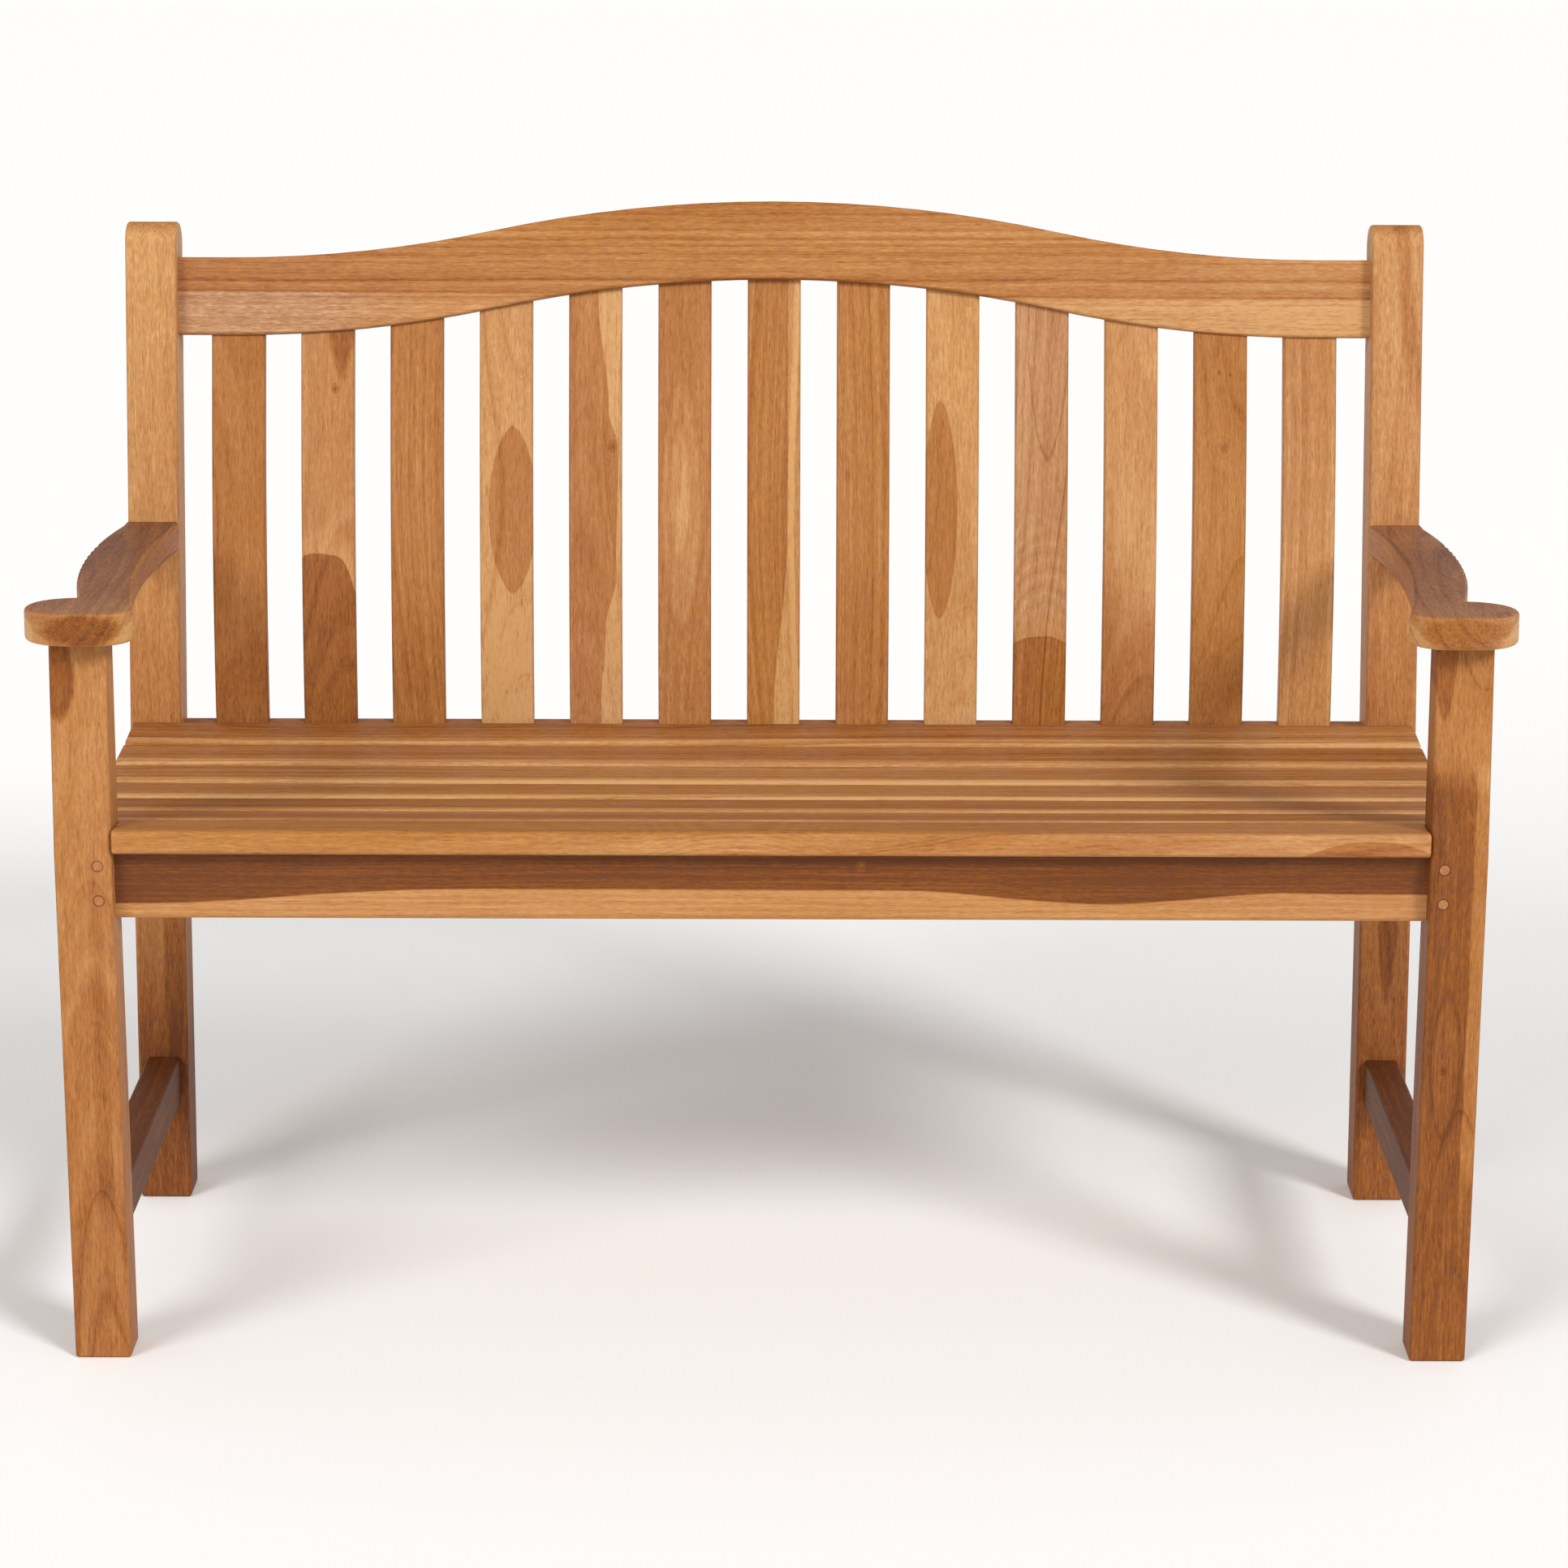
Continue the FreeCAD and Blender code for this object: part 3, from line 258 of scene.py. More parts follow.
GROUP_INPUTS = {
    "Across": 0.0,                  # metres from the board's middle, in two directions across the grain
    "Depth": 0.0,
    "Along": 0.0,                   # and in one along it
    "Seed": 0.0,
    "Tone": 0.4,                    # a place in TEAK_TONES
    "Ring Across": 0.03,            # where the rings are centred
    "Ring Depth": 0.05,
    "Lean": 0.0,                    # how far that centre moves for each metre along
    "Figure": 1.0,                  # how strongly the rings show
    "Ripple": 1.0,                  # how strongly the cross-grain ripple and the silk show
    "End Grain": 0.0,
    "Grey": 0.0,                    # colour lost to weathering
    "Soak": 0.0,                    # painted shade: how much darker the whole board is
}
GROUP_OUTPUTS = {"Color": "NodeSocketColor", "Roughness": "NodeSocketFloat", "Height": "NodeSocketFloat"}

# name: waves per metre across and along the grain, seed offset, detail, roughness
WOOD_NOISES = {
    "sway": (7, 1.7, 0.0, 1.0, 0.5),
    "waver": (38, 5, 3.1, 2.0, 0.5),
    "broad": (20, 3.6, 9.7, 2.0, 0.5),
    "streak": (150, 3, 5.3, 3.0, 0.6),
    "fibre": (540, 15, 7.9, 3.0, 0.7),
    "pore": (950, 60, 1.7, 1.0, 0.5),
    "ripple": (70, 120, 2.3, 2.0, 0.6),
    "silk": (640, 130, 4.9, 2.0, 0.7),
    "flush": (11, 1.3, 6.1, 1.0, 0.5),
}
RINGS_PER_METRE = 210               # broad bands of paler and darker wood
YEARS_PER_METRE = 165               # thin dark lines of late wood
LATE_WOOD_SHARPNESS = 12


def teak_group():
    """Growth rings, fibres, pores and cross-grain ripple in a board's own coordinates."""
    group = bpy.data.node_groups.new("teak", "ShaderNodeTree")
    for name, value in GROUP_INPUTS.items():
        socket = group.interface.new_socket(name, in_out="INPUT", socket_type="NodeSocketFloat")
        socket.default_value = value
    for name, kind in GROUP_OUTPUTS.items():
        group.interface.new_socket(name, in_out="OUTPUT", socket_type=kind)
    n = Nodes(group)
    source = n.add("NodeGroupInput")
    given = {name: Field(n, source.outputs[name]) for name in GROUP_INPUTS}
    across, depth, along, seed = (given[name] for name in ("Across", "Depth", "Along", "Seed"))

    def texture(name):
        wide, long, offset, detail, roughness = WOOD_NOISES[name]
        return n.noise(n.point(across * wide, depth * wide, along * long), seed + offset, detail, roughness)

    # The growth rings wander along the board.
    sway = texture("sway") * 0.020
    waver = texture("waver") * 0.0035
    from_pith = given["Ring Across"] - across + sway + waver
    behind = given["Ring Depth"] - depth + given["Lean"] * along + sway
    radius = n.math("SQRT", from_pith * from_pith + behind * behind)
    ring = n.add(
        "ShaderNodeTexNoise",
        {"noise_dimensions": "1D"},
        W=radius * RINGS_PER_METRE + seed,
        Scale=1.0,
        Detail=2.5,
        Roughness=0.62,
    )
    ring = Field(n, ring.outputs["Fac"]) - 0.5
    year = n.math("FRACT", radius * YEARS_PER_METRE + ring * 1.3 + seed)
    late = (year ** LATE_WOOD_SHARPNESS) * n.rise(ring, -0.12, 0.16)

    fibre, ripple, silk, flush = (texture(name) for name in ("fibre", "ripple", "silk", "flush"))
    pores = n.rise(texture("pore"), 0.08, 0.20)
    figure, end_grain = given["Figure"], given["End Grain"]
    tone = given["Tone"] + figure * (ring * 0.44 + late * 0.30)
    tone = tone + texture("broad") * 0.26 + texture("streak") * 0.26 + fibre * 0.48 + pores * 0.15
    tone = tone + given["Ripple"] * (ripple * 0.14 + silk * 0.48)
    tone = tone + end_grain * (0.20 + silk * 0.15)

    ramp = n.add("ShaderNodeValToRGB", Fac=tone)
    stops = ramp.color_ramp.elements
    while len(stops) < len(TEAK_TONES):
        stops.new(0.5)
    for stop, (place, colour) in zip(stops, TEAK_TONES.items()):
        stop.position = place
        stop.color = paint(colour)
    tint = n.add(
        "ShaderNodeHueSaturation",
        Hue=0.5 + flush * 0.010,
        Saturation=(1.0 - ripple * 0.10 + flush * 0.10) * (1.0 - given["Grey"]),
        Value=(1.0 - silk * 0.16) * (1.0 - given["Soak"]),
        Color=Field(n, ramp.outputs["Color"]),
    )
    n.add(
        "NodeGroupOutput",
        Color=Field(n, tint.outputs["Color"]),
        Roughness=0.52 + pores * 0.10 + fibre * 0.14 + end_grain * 0.12,
        Height=fibre * 0.6 - pores * 0.6 + silk * 0.5 + ring * figure * 0.2,
    )
    return group


TEAK = teak_group()
WOOD_RELIEF = {"strength": 0.35, "distance": 0.0006}
OVAL_POINTEDNESS = 1.6              # 2 is an ellipse, 1 has sharp ends
KNOT_STRETCH = 0.55                 # below 1, a knot is longer than it is wide
KNOT_REACH = (0.5, 3.2)             # its rings fade between these multiples of its size
GRAIN_AXES = {"x": Vector((1, 0, 0)), "y": Vector((0, 1, 0)), "z": Vector((0, 0, 1))}


class Board:
    """One piece of teak: its own axes, the figure drawn on it, and the material made from them."""

    def __init__(self, node, grain, rake=0.0):
        low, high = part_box(node)
        middle = (low + high) / 2
        self.node = node
        self.grain = grain
        self.material, self.n = new_material(f"teak_{node}")
        self.x, self.y, self.z = self.n.place()
        x, y, z = self.x - middle.x, self.y - middle.y, self.z - middle.z
        y = y - z * rake
        self.across, self.depth, self.along = {"x": (z, y, x), "y": (x, z, y), "z": (x, y, z)}[grain]

    def wander(self, seed, size=0.003, across=60, along=14):
        """An irregular offset of about `size` metres, so that a boundary doesn't look drawn."""
        place = self.n.point(self.across * across, self.depth * 20, self.along * along)
        return self.n.noise(place, seed, 3.0) * size * 2

    def span(self, value, stops):
        """A tone that passes smoothly through (place, tone) stops along a coordinate."""
        total = stops[0][1]
        for (low, before), (high, after) in zip(stops, stops[1:]):
            total = total + self.n.rise(value, low, high, 0.0, after - before)
        return total

    def past(self, value, limit, blur=0.0012):
        """1 where the value has passed the limit."""
        return self.n.rise(value - limit, -blur, blur)

    def eye(self, u, v, centre, half, blur=0.05):
        """1 inside a long pointed oval, and 1 on the thin line round it."""
        n = self.n
        sideways = (n.math("ABSOLUTE", u - centre[0]) / half[0]) ** OVAL_POINTEDNESS
        lengthwise = (v - centre[1]) / half[1]
        reach = sideways + lengthwise * lengthwise
        inside = n.fall(reach, 1.0 - blur, 1.0 + blur)
        rim = n.line(reach - 1.0, blur * 1.6)
        return inside, rim

    def knot(self, u, v, centre, size):
        """How much darker a small round knot is: most at its heart, with rings round it."""
        n = self.n
        sideways, lengthwise = u - centre[0], v - centre[1]
        away = n.math("SQRT", sideways * sideways + lengthwise * lengthwise * KNOT_STRETCH)
        away = away + self.wander(centre[0] * 91, size * 0.25, 200, 200)
        heart = n.fall(away, 0.0, size)
        near, far = (size * multiple for multiple in KNOT_REACH)
        rings = n.math("SINE", away * (12.0 / size)) * n.fall(away, near, far)
        return heart * 0.30 + rings * 0.045

    def facing(self, direction):
        """How squarely the surface faces a direction."""
        n = self.n
        product = n.add("ShaderNodeVectorMath", {"operation": "DOT_PRODUCT"})
        n.feed(product.inputs[0], Field(n, n.add("ShaderNodeNewGeometry").outputs["Normal"]))
        n.feed(product.inputs[1], direction)
        return Field(n, product.outputs["Value"])

    def painted_top_shade(self):
        """1 on the surfaces that face up, used to paint shade on the tops, which get less of the front
        light.
        """
        return self.n.rise(self.facing(GRAIN_AXES["z"]), 0.45, 0.90)

    def finish(self, seed, tone, rings=(0.03, 0.05), lean=0.0, figure=1.0, ripple=1.0, grey=0.0, painted_shade=0.0):
        n = self.n
        end_grain = n.rise(n.math("ABSOLUTE", self.facing(GRAIN_AXES[self.grain])), 0.55, 0.95)
        colour, roughness, height = n.teak(
            Across=self.across,
            Depth=self.depth,
            Along=self.along,
            Seed=seed,
            Tone=tone,
            Ring_Across=rings[0],
            Ring_Depth=rings[1],
            Lean=lean,
            Figure=figure,
            Ripple=ripple,
            End_Grain=end_grain,
            Grey=grey,
            Soak=painted_shade,
        )
        shader = n.surface(colour, roughness, height, **WOOD_RELIEF)
        shader.inputs["Specular IOR Level"].default_value = SHEEN
        dress(self.node, self.material)


def dress(node, material):
    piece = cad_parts[node]
    piece.data.materials.clear()
    piece.data.materials.append(material)


# ---------------------------------------------------------------- the back

# Each figure function below gives what its board's figure adds to the tone: u is across and v is the height.
RAKE = 0.1734                       # how far the back leans per metre of height
REAR_LEG_RAKE = 0.12                # the same for a rear leg, over its bent length
SLAT_LOW, SLAT_MIDDLE, SLAT_HIGH = 0.47, 0.62, 0.76
TONE_SLANT = 0.6                    # the tones change along a slanting line
GREY_SLAT = 10
GREY_RISE = (0.50, 0.56)            # heights between which its colour fades
GREY_LOSS = 0.07

# seed, tone low, middle and high, where the rings are centred across and behind, lean, figure
BACK_SLATS = {
    1: (11.3, (0.64, 0.44, 0.47), (0.010, 0.090), 0.02, 0.55),
    2: (23.9, (0.20, 0.22, 0.26), (0.015, 0.040), 0.10, 0.60),
    3: (31.7, (0.50, 0.36, 0.44), (-0.060, 0.030), 0.05, 1.20),
    4: (47.1, (-0.02, 0.06, 0.15), (0.020, 0.080), 0.03, 0.45),
    5: (52.6, (0.32, 0.41, 0.42), (-0.012, 0.030), 0.06, 0.80),
    6: (68.4, (0.34, 0.30, 0.42), (0.055, 0.022), 0.09, 0.55),
    7: (74.2, (0.36, 0.42, 0.44), (-0.050, 0.020), 0.02, 1.35),
    8: (83.8, (0.42, 0.35, 0.40), (0.080, 0.015), 0.02, 1.10),
    9: (97.5, (0.08, 0.12, 0.11), (0.015, 0.060), 0.04, 0.55),
    10: (105.3, (0.18, 0.28, 0.27), (0.060, 0.022), 0.12, 1.10),
    11: (113.6, (0.40, 0.07, 0.20), (0.020, 0.070), 0.03, 0.50),
    12: (127.2, (0.44, 0.31, 0.44), (0.030, 0.090), 0.03, 0.60),
    13: (139.9, (0.17, 0.17, 0.30), (0.070, 0.030), 0.04, 0.80),
}


def second_slat(board, u, v):
    """Pale wood over dark: the boundary is an arch, with a pale halo above it."""
    bulge = (u + 0.006) / 0.030
    bulge = bulge * bulge
    edge = 0.593 - bulge * bulge * 0.035 + board.wander(1.5)
    dark = board.past(edge, v)
    halo = board.n.fall(v - edge, 0.0, 0.035) * board.past(v, edge)
    rim = board.n.line(v - edge, 0.0016)
    tongue, _ = board.eye(u + board.wander(1.9, 0.002), v, (0.013, 0.830), (0.014, 0.078), 0.25)
    knot = board.knot(u, v, (0.007, 0.740), 0.005)
    return dark * 0.40 - halo * 0.12 + rim * 0.18 + tongue * 0.36 + knot * 1.1


def fourth_slat(board, u, v):
    """A wide dark oval."""
    bent = u + board.wander(2.5, 0.0012)
    inside, rim = board.eye(bent, v, (0.006, 0.633), (0.0215, 0.074), 0.045)
    return inside * 0.31 + rim * 0.12


def fifth_slat(board, u, v):
    """Brown, with a pale strip on the right whose edge swings in above and below a knot."""
    below = [(0.46, 0.004), (0.53, 0.009), (0.57, 0.018)]
    above = [(0.69, 0.020), (0.72, 0.012), (0.82, 0.002)]
    edge = board.span(v, below + above) + board.wander(3.5, 0.0015)
    pale = board.past(u, edge)
    rim = board.n.line(u - edge, 0.0014)
    return rim * 0.16 - pale * 0.34 + board.knot(u, v, (0.016, 0.690), 0.006)


def sixth_slat(board, u, v):
    """Two pale ovals, one in the other."""
    inner, rim = board.eye(u + board.wander(4.1, 0.002), v, (-0.004, 0.650), (0.010, 0.060), 0.30)
    outer, outer_rim = board.eye(u + board.wander(4.1, 0.002), v, (-0.003, 0.640), (0.018, 0.115), 0.14)
    return rim * 0.07 + outer_rim * 0.07 - inner * 0.10 - outer * 0.10


def seventh_slat(board, u, v):
    """Brown on the left, pale on the right."""
    edge = board.span(v, [(0.45, 0.000), (0.61, 0.012)]) + board.wander(4.5, 0.0012)
    pale = board.past(u, edge)
    rim = board.n.line(u - edge, 0.0016)
    return rim * 0.18 - pale * 0.34


def ninth_slat(board, u, v):
    """A dark oval left of the middle."""
    bent = u + board.wander(5.5, 0.0010)
    inside, rim = board.eye(bent, v, (-0.011, 0.6335), (0.0155, 0.0965), 0.04)
    return inside * 0.28 + rim * 0.12


def tenth_slat(board, u, v):
    """Grey-brown loops above, and dark wood below a nearly level edge."""
    edge = 0.521 - u * u * 12 + board.wander(6.5, 0.002)
    dark = board.past(edge, v)
    rim = board.n.line(v - edge, 0.0014)
    loop, loop_rim = board.eye(u + board.wander(7.5, 0.004), v, (0.006, 0.800), (0.018, 0.120), 0.05)
    lean = u - 0.005
    wave = board.n.math("SINE", (v + lean * lean * 34 + board.wander(8.5, 0.014, 40, 26)) * 400) ** 3
    waves = board.n.rise(v, 0.525, 0.550) * board.n.fall(v, 0.600, 0.640)
    return dark * 0.34 + rim * 0.20 + loop * 0.04 + loop_rim * 0.26 + wave * waves * 0.08


def eleventh_slat(board, u, v):
    """Darker low on the left, with a small knot."""
    shade = board.n.fall(u, -0.026, -0.004) * board.n.fall(v, 0.58, 0.74)
    return shade * 0.14 + board.knot(u, v, (-0.019, 0.600), 0.0035) * 0.5


def twelfth_slat(board, u, v):
    """Five small knots near the top."""
    spots = board.knot(u, v, (-0.006, 0.792), 0.0022) + board.knot(u, v, (0.006, 0.793), 0.0022)
    spots = spots + board.knot(u, v, (-0.001, 0.756), 0.0028) + board.knot(u, v, (0.009, 0.754), 0.0026)
    return (spots + board.knot(u, v, (0.003, 0.690), 0.0060)) * 0.75


def thirteenth_slat(board, u, v):
    """A pale strip down the right edge."""
    return board.past(u, 0.0195 + board.wander(9.5, 0.0008)) * -0.14


SLAT_FIGURES = {
    2: second_slat,
    4: fourth_slat,
    5: fifth_slat,
    6: sixth_slat,
    7: seventh_slat,
    9: ninth_slat,
    10: tenth_slat,
    11: eleventh_slat,
    12: twelfth_slat,
    13: thirteenth_slat,
}

for number, (seed, (low, middle, high), rings, lean, figure) in BACK_SLATS.items():
    board = Board(f"back_slat_{number:02d}", "z", rake=RAKE)
    stops = [(SLAT_LOW, low), (SLAT_MIDDLE, middle), (SLAT_HIGH, high)]
    tone = board.span(board.z + board.across * TONE_SLANT, stops)
    if number in SLAT_FIGURES:
        tone = tone + SLAT_FIGURES[number](board, board.across, board.z)
    grey = board.n.rise(board.z, *GREY_RISE, 0.0, GREY_LOSS) if number == GREY_SLAT else 0.0
    board.finish(seed, tone, rings, lean, figure, grey=grey)


def crest_rail():
    """Straight grain cut by the curve: a paler strip along the bottom towards both ends."""
    board = Board("crest_rail", "x")
    n = board.n
    tone = board.span(board.x, [(-0.55, 0.46), (-0.10, 0.36), (0.10, 0.34), (0.55, 0.26)])
    edge = 0.824 + board.x * -0.004 + board.wander(10.5, 0.0015, 20, 3)
    strip = board.past(edge, board.z, 0.0010)
    rim = n.line(board.z - edge, 0.0022)
    above = n.fall(board.z - edge, 0.0, 0.012) * board.past(board.z, edge)
    top = n.rise(board.z, 0.886, 0.904)
    tone = tone - strip * 0.20 + rim * 0.18 + above * 0.06 + top * 0.12
    worn = strip * n.fall(board.x, -0.46, -0.28)
    board.finish(151.4, tone, rings=(-0.14, 0.05), figure=1.15, ripple=1.25 + worn, grey=worn * 0.12)


crest_rail()


def lower_rail():
    """Plain brown wood."""
    board = Board("lower_back_rail", "x")
    tone = board.span(board.x, [(-0.5, 0.62), (0.5, 0.52)])
    board.finish(163.2, tone, rings=(0.08, 0.04), figure=0.9)


lower_rail()


def rear_leg(label, seed, tones, side):
    """Pale above and dark below, with a long dark lens. The right leg has a slanting streak at its top."""
    board = Board(f"rear_leg_{label}", "z", rake=REAR_LEG_RAKE)
    n = board.n
    tone = board.span(board.z, tones)
    if side > 0:
        lens, _ = board.eye(board.across, board.z, (0.002, 0.300), (0.010, 0.110), 0.2)
        middle = 0.004 + (0.872 - board.z) * 0.10
        away = n.math("ABSOLUTE", board.across - middle + board.wander(17.5, 0.002))
        streak = n.fall(away, 0.003, 0.010) * n.rise(board.z, 0.71, 0.79)
        tone = tone + lens * 0.26 + streak * 0.26
    else:
        lens, _ = board.eye(board.across, board.z, (0.012, 0.240), (0.009, 0.150), 0.3)
        tone = tone + lens * 0.24
    board.finish(seed, tone, rings=(-0.05 * side, 0.06), lean=0.02, figure=0.55, ripple=1.3)


# Below the arm the posts darken partly in the wood itself and partly as painted shade from the arm.
rear_leg("left", 171.9, [(0.10, 0.88), (0.30, 0.36), (0.43, 0.42), (0.62, 0.22), (0.88, 0.08)], -1)
rear_leg("right", 187.3, [(0.10, 0.74), (0.30, 0.52), (0.43, 0.44), (0.62, 0.26), (0.88, 0.17)], 1)

# ---------------------------------------------------------------- the seat


def apron():
    """Dark heartwood above, pale sapwood below, with a wavy boundary."""
    board = Board("front_apron", "x")
    n = board.n
    x, z = board.x, board.z
    dip = (x - 0.272) / 0.16
    bump = n.math("MAXIMUM", 1.0 - dip * dip, 0.0)
    rise = n.rise(x, -0.53, -0.26, 0.013, 0.0)
    edge = 0.4085 - rise - bump * bump * 0.011 - n.rise(x, 0.34, 0.50, 0.0, 0.0025)
    edge = edge + board.wander(11.5, 0.0015, 40, 9)
    dark = board.past(z, edge, 0.0009)
    rim = n.line(z - edge, 0.002)
    inner = n.rise(z - edge, 0.0, 0.02)
    tone = 0.22 + dark * 0.66 + rim * 0.05 + dark * inner * 0.06
    tone = tone - board.knot(x, z, (0.074, 0.430), 0.006) * 0.8
    board.finish(193.1, tone, rings=(-0.09, 0.03), figure=0.85, ripple=0.8)


apron()


def front_slat():
    """Nested arches near the middle of its front face, and a brown arch at the right end."""
    board = Board("front_seat_slat", "x")
    n = board.n
    x, z = board.x, board.z
    middle = (x + 0.030) / 0.048
    arch = 0.4445 - middle * middle * 0.007
    arch_in = board.past(arch, z, 0.0006)
    nested = n.math("SINE", (z - arch) * 1500) * n.fall(n.math("ABSOLUTE", middle), 0.6, 2.6)
    right = (x - 0.488) / 0.062
    brown = board.past(0.4555 - right * right * 0.016 + board.wander(12.5, 0.0012), z, 0.0006)
    tone = board.span(x, [(-0.5, 0.30), (0.0, 0.34), (0.3, 0.30), (0.55, 0.20)])
    # Painted shade: the top face is darker than the front face.
    tone = tone + arch_in * 0.20 + nested * 0.05 + brown * 0.30 + board.painted_top_shade() * 0.12
    board.finish(207.7, tone, rings=(0.020, 0.10), lean=0.03, figure=0.6)


front_slat()

# seed, tone at the left, middle and right, where the rings are centred
SEAT_SLATS = {
    1: (211.5, (0.48, 0.42, 0.38), (0.05, 0.03)),
    2: (223.1, (0.50, 0.42, 0.34), (-0.04, 0.05)),
    3: (237.4, (0.34, 0.30, 0.32), (0.07, 0.04)),
    4: (249.8, (0.30, 0.26, 0.34), (-0.06, 0.03)),
    5: (253.3, (0.34, 0.40, 0.46), (0.04, 0.06)),
    6: (267.9, (0.46, 0.44, 0.30), (0.06, 0.02)),
}

PAINTED_HIGHLIGHT_STRIP = (-0.0185, -0.0145)     # where the painted highlight along the front edge of a seat slat's top ends, from its middle

for number, (seed, (left, middle, right), rings) in SEAT_SLATS.items():
    board = Board(f"seat_slat_{number}", "x")
    stops = [(-0.55, left), (-0.1, middle), (0.1, middle), (0.55, right)]
    # A painted highlight along the front edge of each slat's top, and painted shade on the top behind it.
    behind_painted_highlight = board.n.rise(board.depth + board.wander(seed, 0.002), *PAINTED_HIGHLIGHT_STRIP)
    tone = board.span(board.x, stops) - 0.24 + board.painted_top_shade() * (behind_painted_highlight * 0.38 - 0.02)
    board.finish(seed, tone, rings, lean=0.01, figure=1.7)

for number, node in enumerate(("side_rail_left", "side_rail_right", "centre_bearer")):
    board = Board(node, "y")
    tone = board.span(board.y, [(-0.2, 0.42), (0.1, 0.52)])
    board.finish(271.3 + number * 13.7, tone, rings=(0.05, 0.03), lean=0.01, figure=0.8)

# ---------------------------------------------------------------- legs, stretchers and arms

PEG_WIDTH = 0.008
PEG_LINE = (0.0003, 0.0014)         # the dark line round a peg fades between these distances from its edge


def peg_rings(board, side):
    """A dark line round each peg that shows in the front of a leg."""
    low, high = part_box("apron_pegs")
    radius = PEG_WIDTH / 2
    lines = 0.0
    for height in (low.z + radius, high.z - radius):
        x, z = board.x - side * (high.x - radius), board.z - height
        away = board.n.math("SQRT", x * x + z * z)
        lines = lines + board.n.fall(board.n.math("ABSOLUTE", away - radius), *PEG_LINE)
    return lines * 0.5


def front_leg_left():
    """Pale above, with a dark streak on its outer side."""
    board = Board("front_leg_left", "z")
    tone = board.span(board.z, [(0.05, 0.56), (0.25, 0.48), (0.44, 0.36), (0.52, 0.26)])
    bent = board.x + board.wander(13.5, 0.006)
    streak, _ = board.eye(bent, board.z, (-0.577, 0.586), (0.012, 0.036), 0.3)
    low, _ = board.eye(board.x, board.z, (-0.552, 0.250), (0.007, 0.200), 0.5)
    tone = tone + streak * 0.46 + low * 0.10 + peg_rings(board, -1)
    board.finish(283.7, tone, rings=(0.006, 0.03), lean=0.10, figure=0.9)


def front_leg_right():
    """Dark, with a knotty oval in its middle and a pale strip on its outer edge."""
    board = Board("front_leg_right", "z")
    n = board.n
    x, z = board.x, board.z
    tone = board.span(z, [(0.05, 0.78), (0.25, 0.84), (0.49, 0.80), (0.525, 0.42)])
    bent = x + board.wander(14.5, 0.003)
    oval, oval_rim = board.eye(bent, z, (0.556, 0.262), (0.012, 0.062), 0.18)
    strip = board.past(x, 0.5725 + board.wander(15.5, 0.003)) * n.rise(z, 0.10, 0.20)
    strip = strip * n.fall(z, 0.505, 0.525)
    bent = x + board.wander(18.5, 0.0015)
    streak, streak_rim = board.eye(bent, z, (0.5445, 0.645), (0.0110, 0.090), 0.10)
    tone = tone + oval_rim * 0.14 - strip * 0.36 + streak * 0.26 + streak_rim * 0.10
    tone = tone + board.knot(x, z, (0.555, 0.258), 0.0045) * 0.8 - oval * 0.04 + peg_rings(board, 1)
    board.finish(293.9, tone, rings=(0.01, 0.05), lean=0.03, figure=0.8)


front_leg_left()
front_leg_right()

# Painted shade: the stretchers get the darkest tone and a further darkening for the shade they lie in under
# the seat.
for number, label in enumerate(("left", "right")):
    board = Board(f"stretcher_{label}", "y")
    tone = board.span(board.y, [(-0.2, 1.0), (0.1, 0.94)])
    board.finish(307.1 + number * 11.9, tone, rings=(0.05, 0.04), lean=0.01, figure=0.7, painted_shade=0.22)


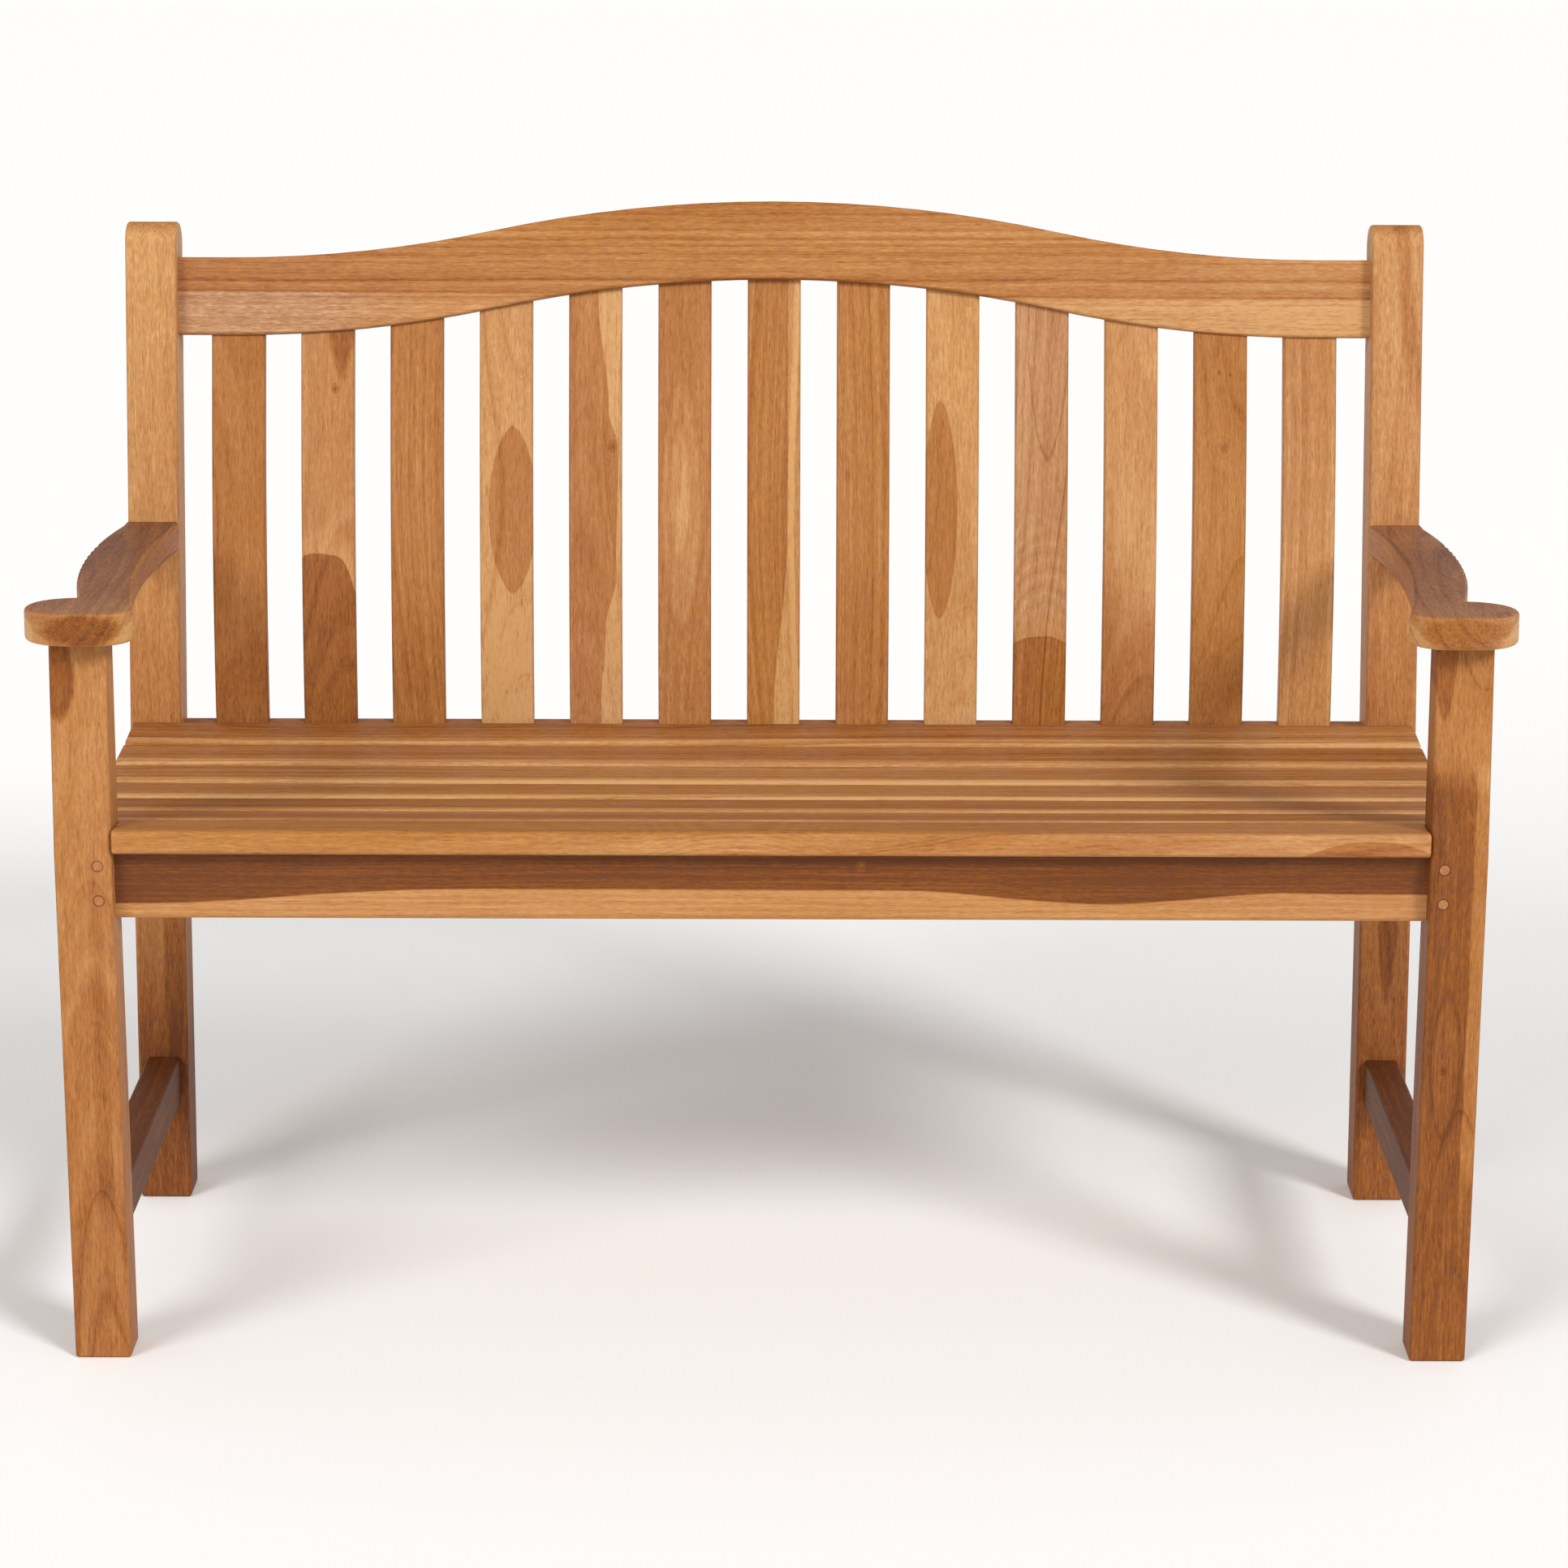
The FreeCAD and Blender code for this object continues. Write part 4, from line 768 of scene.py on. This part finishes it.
def arm(label, seed, tones, face, side):
    """Brown above, with a darker patch on the scroll's face and paler wood along its lower part."""
    board = Board(f"arm_{label}", "y")
    n = board.n
    x, y, z = board.x, board.y, board.z
    top = board.painted_top_shade()
    # Painted shade: the top faces are darker than the front; the same mask also makes them a little greyer.
    tone = board.span(y, tones) + top * 0.32
    slope = (x - 0.556 * side) * 1.5
    pale = n.fall(z - slope * slope * 6 + board.wander(16.5 + side, 0.004, 40, 40), 0.608, 0.616)
    front = n.fall(y, -0.262, -0.20)
    dark, _ = board.eye(x, z, (0.552 * side, 0.631), (0.030, 0.013), 0.4)
    tone = tone - pale * front * 0.26 + dark * front * (1.0 - top) * face
    board.finish(seed, tone, rings=(0.03 * side, 0.05), lean=0.02, figure=0.7, grey=top * 0.10)


arm("left", 311.7, [(-0.27, 0.24), (-0.15, 0.42), (0.10, 0.48)], 0.34, -1)
arm("right", 331.3, [(-0.27, 0.26), (-0.15, 0.42), (0.02, 0.46), (0.12, 0.30)], 0.16, 1)

# ---------------------------------------------------------------- pegs and screws

PEG_RELIEF = {"strength": 0.4, "distance": 0.0005}
STEEL_RELIEF = {"strength": 0.3, "distance": 0.0001}
STEEL_DARK = (0.42, 0.41, 0.40, 1.0)
STEEL_LIGHT = (0.66, 0.65, 0.64, 1.0)


def peg_wood():
    """Pegs that show some end grain."""
    material, n = new_material("teak_pegs")
    x, y, z = n.place()
    colour, roughness, height = n.teak(
        Across=x,
        Depth=z,
        Along=y,
        Seed=341.9,
        Tone=0.36,
        Figure=0.6,
        End_Grain=0.35,
    )
    n.surface(colour, roughness, height, **PEG_RELIEF)
    return material


def screw_steel():
    """Stainless steel with fine turning marks."""
    material, n = new_material("screw_steel")
    x, y, z = n.place()
    turned = n.noise(n.point(x * 900, y * 900, z * 5200), 3.3, 2.0)
    ramp = n.add("ShaderNodeValToRGB", Fac=turned + 0.5)
    ramp.color_ramp.elements[0].color = STEEL_DARK
    ramp.color_ramp.elements[1].color = STEEL_LIGHT
    colour = Field(n, ramp.outputs["Color"])
    shader = n.surface(colour, 0.32 + turned * 0.25, turned, **STEEL_RELIEF)
    shader.inputs["Metallic"].default_value = 1.0
    return material


pegs = peg_wood()
for node in ("apron_pegs", "crest_pegs", "lower_rail_pegs", "side_rail_pegs", "stretcher_pegs", "arm_pegs"):
    dress(node, pegs)
dress("seat_screws", screw_steel())
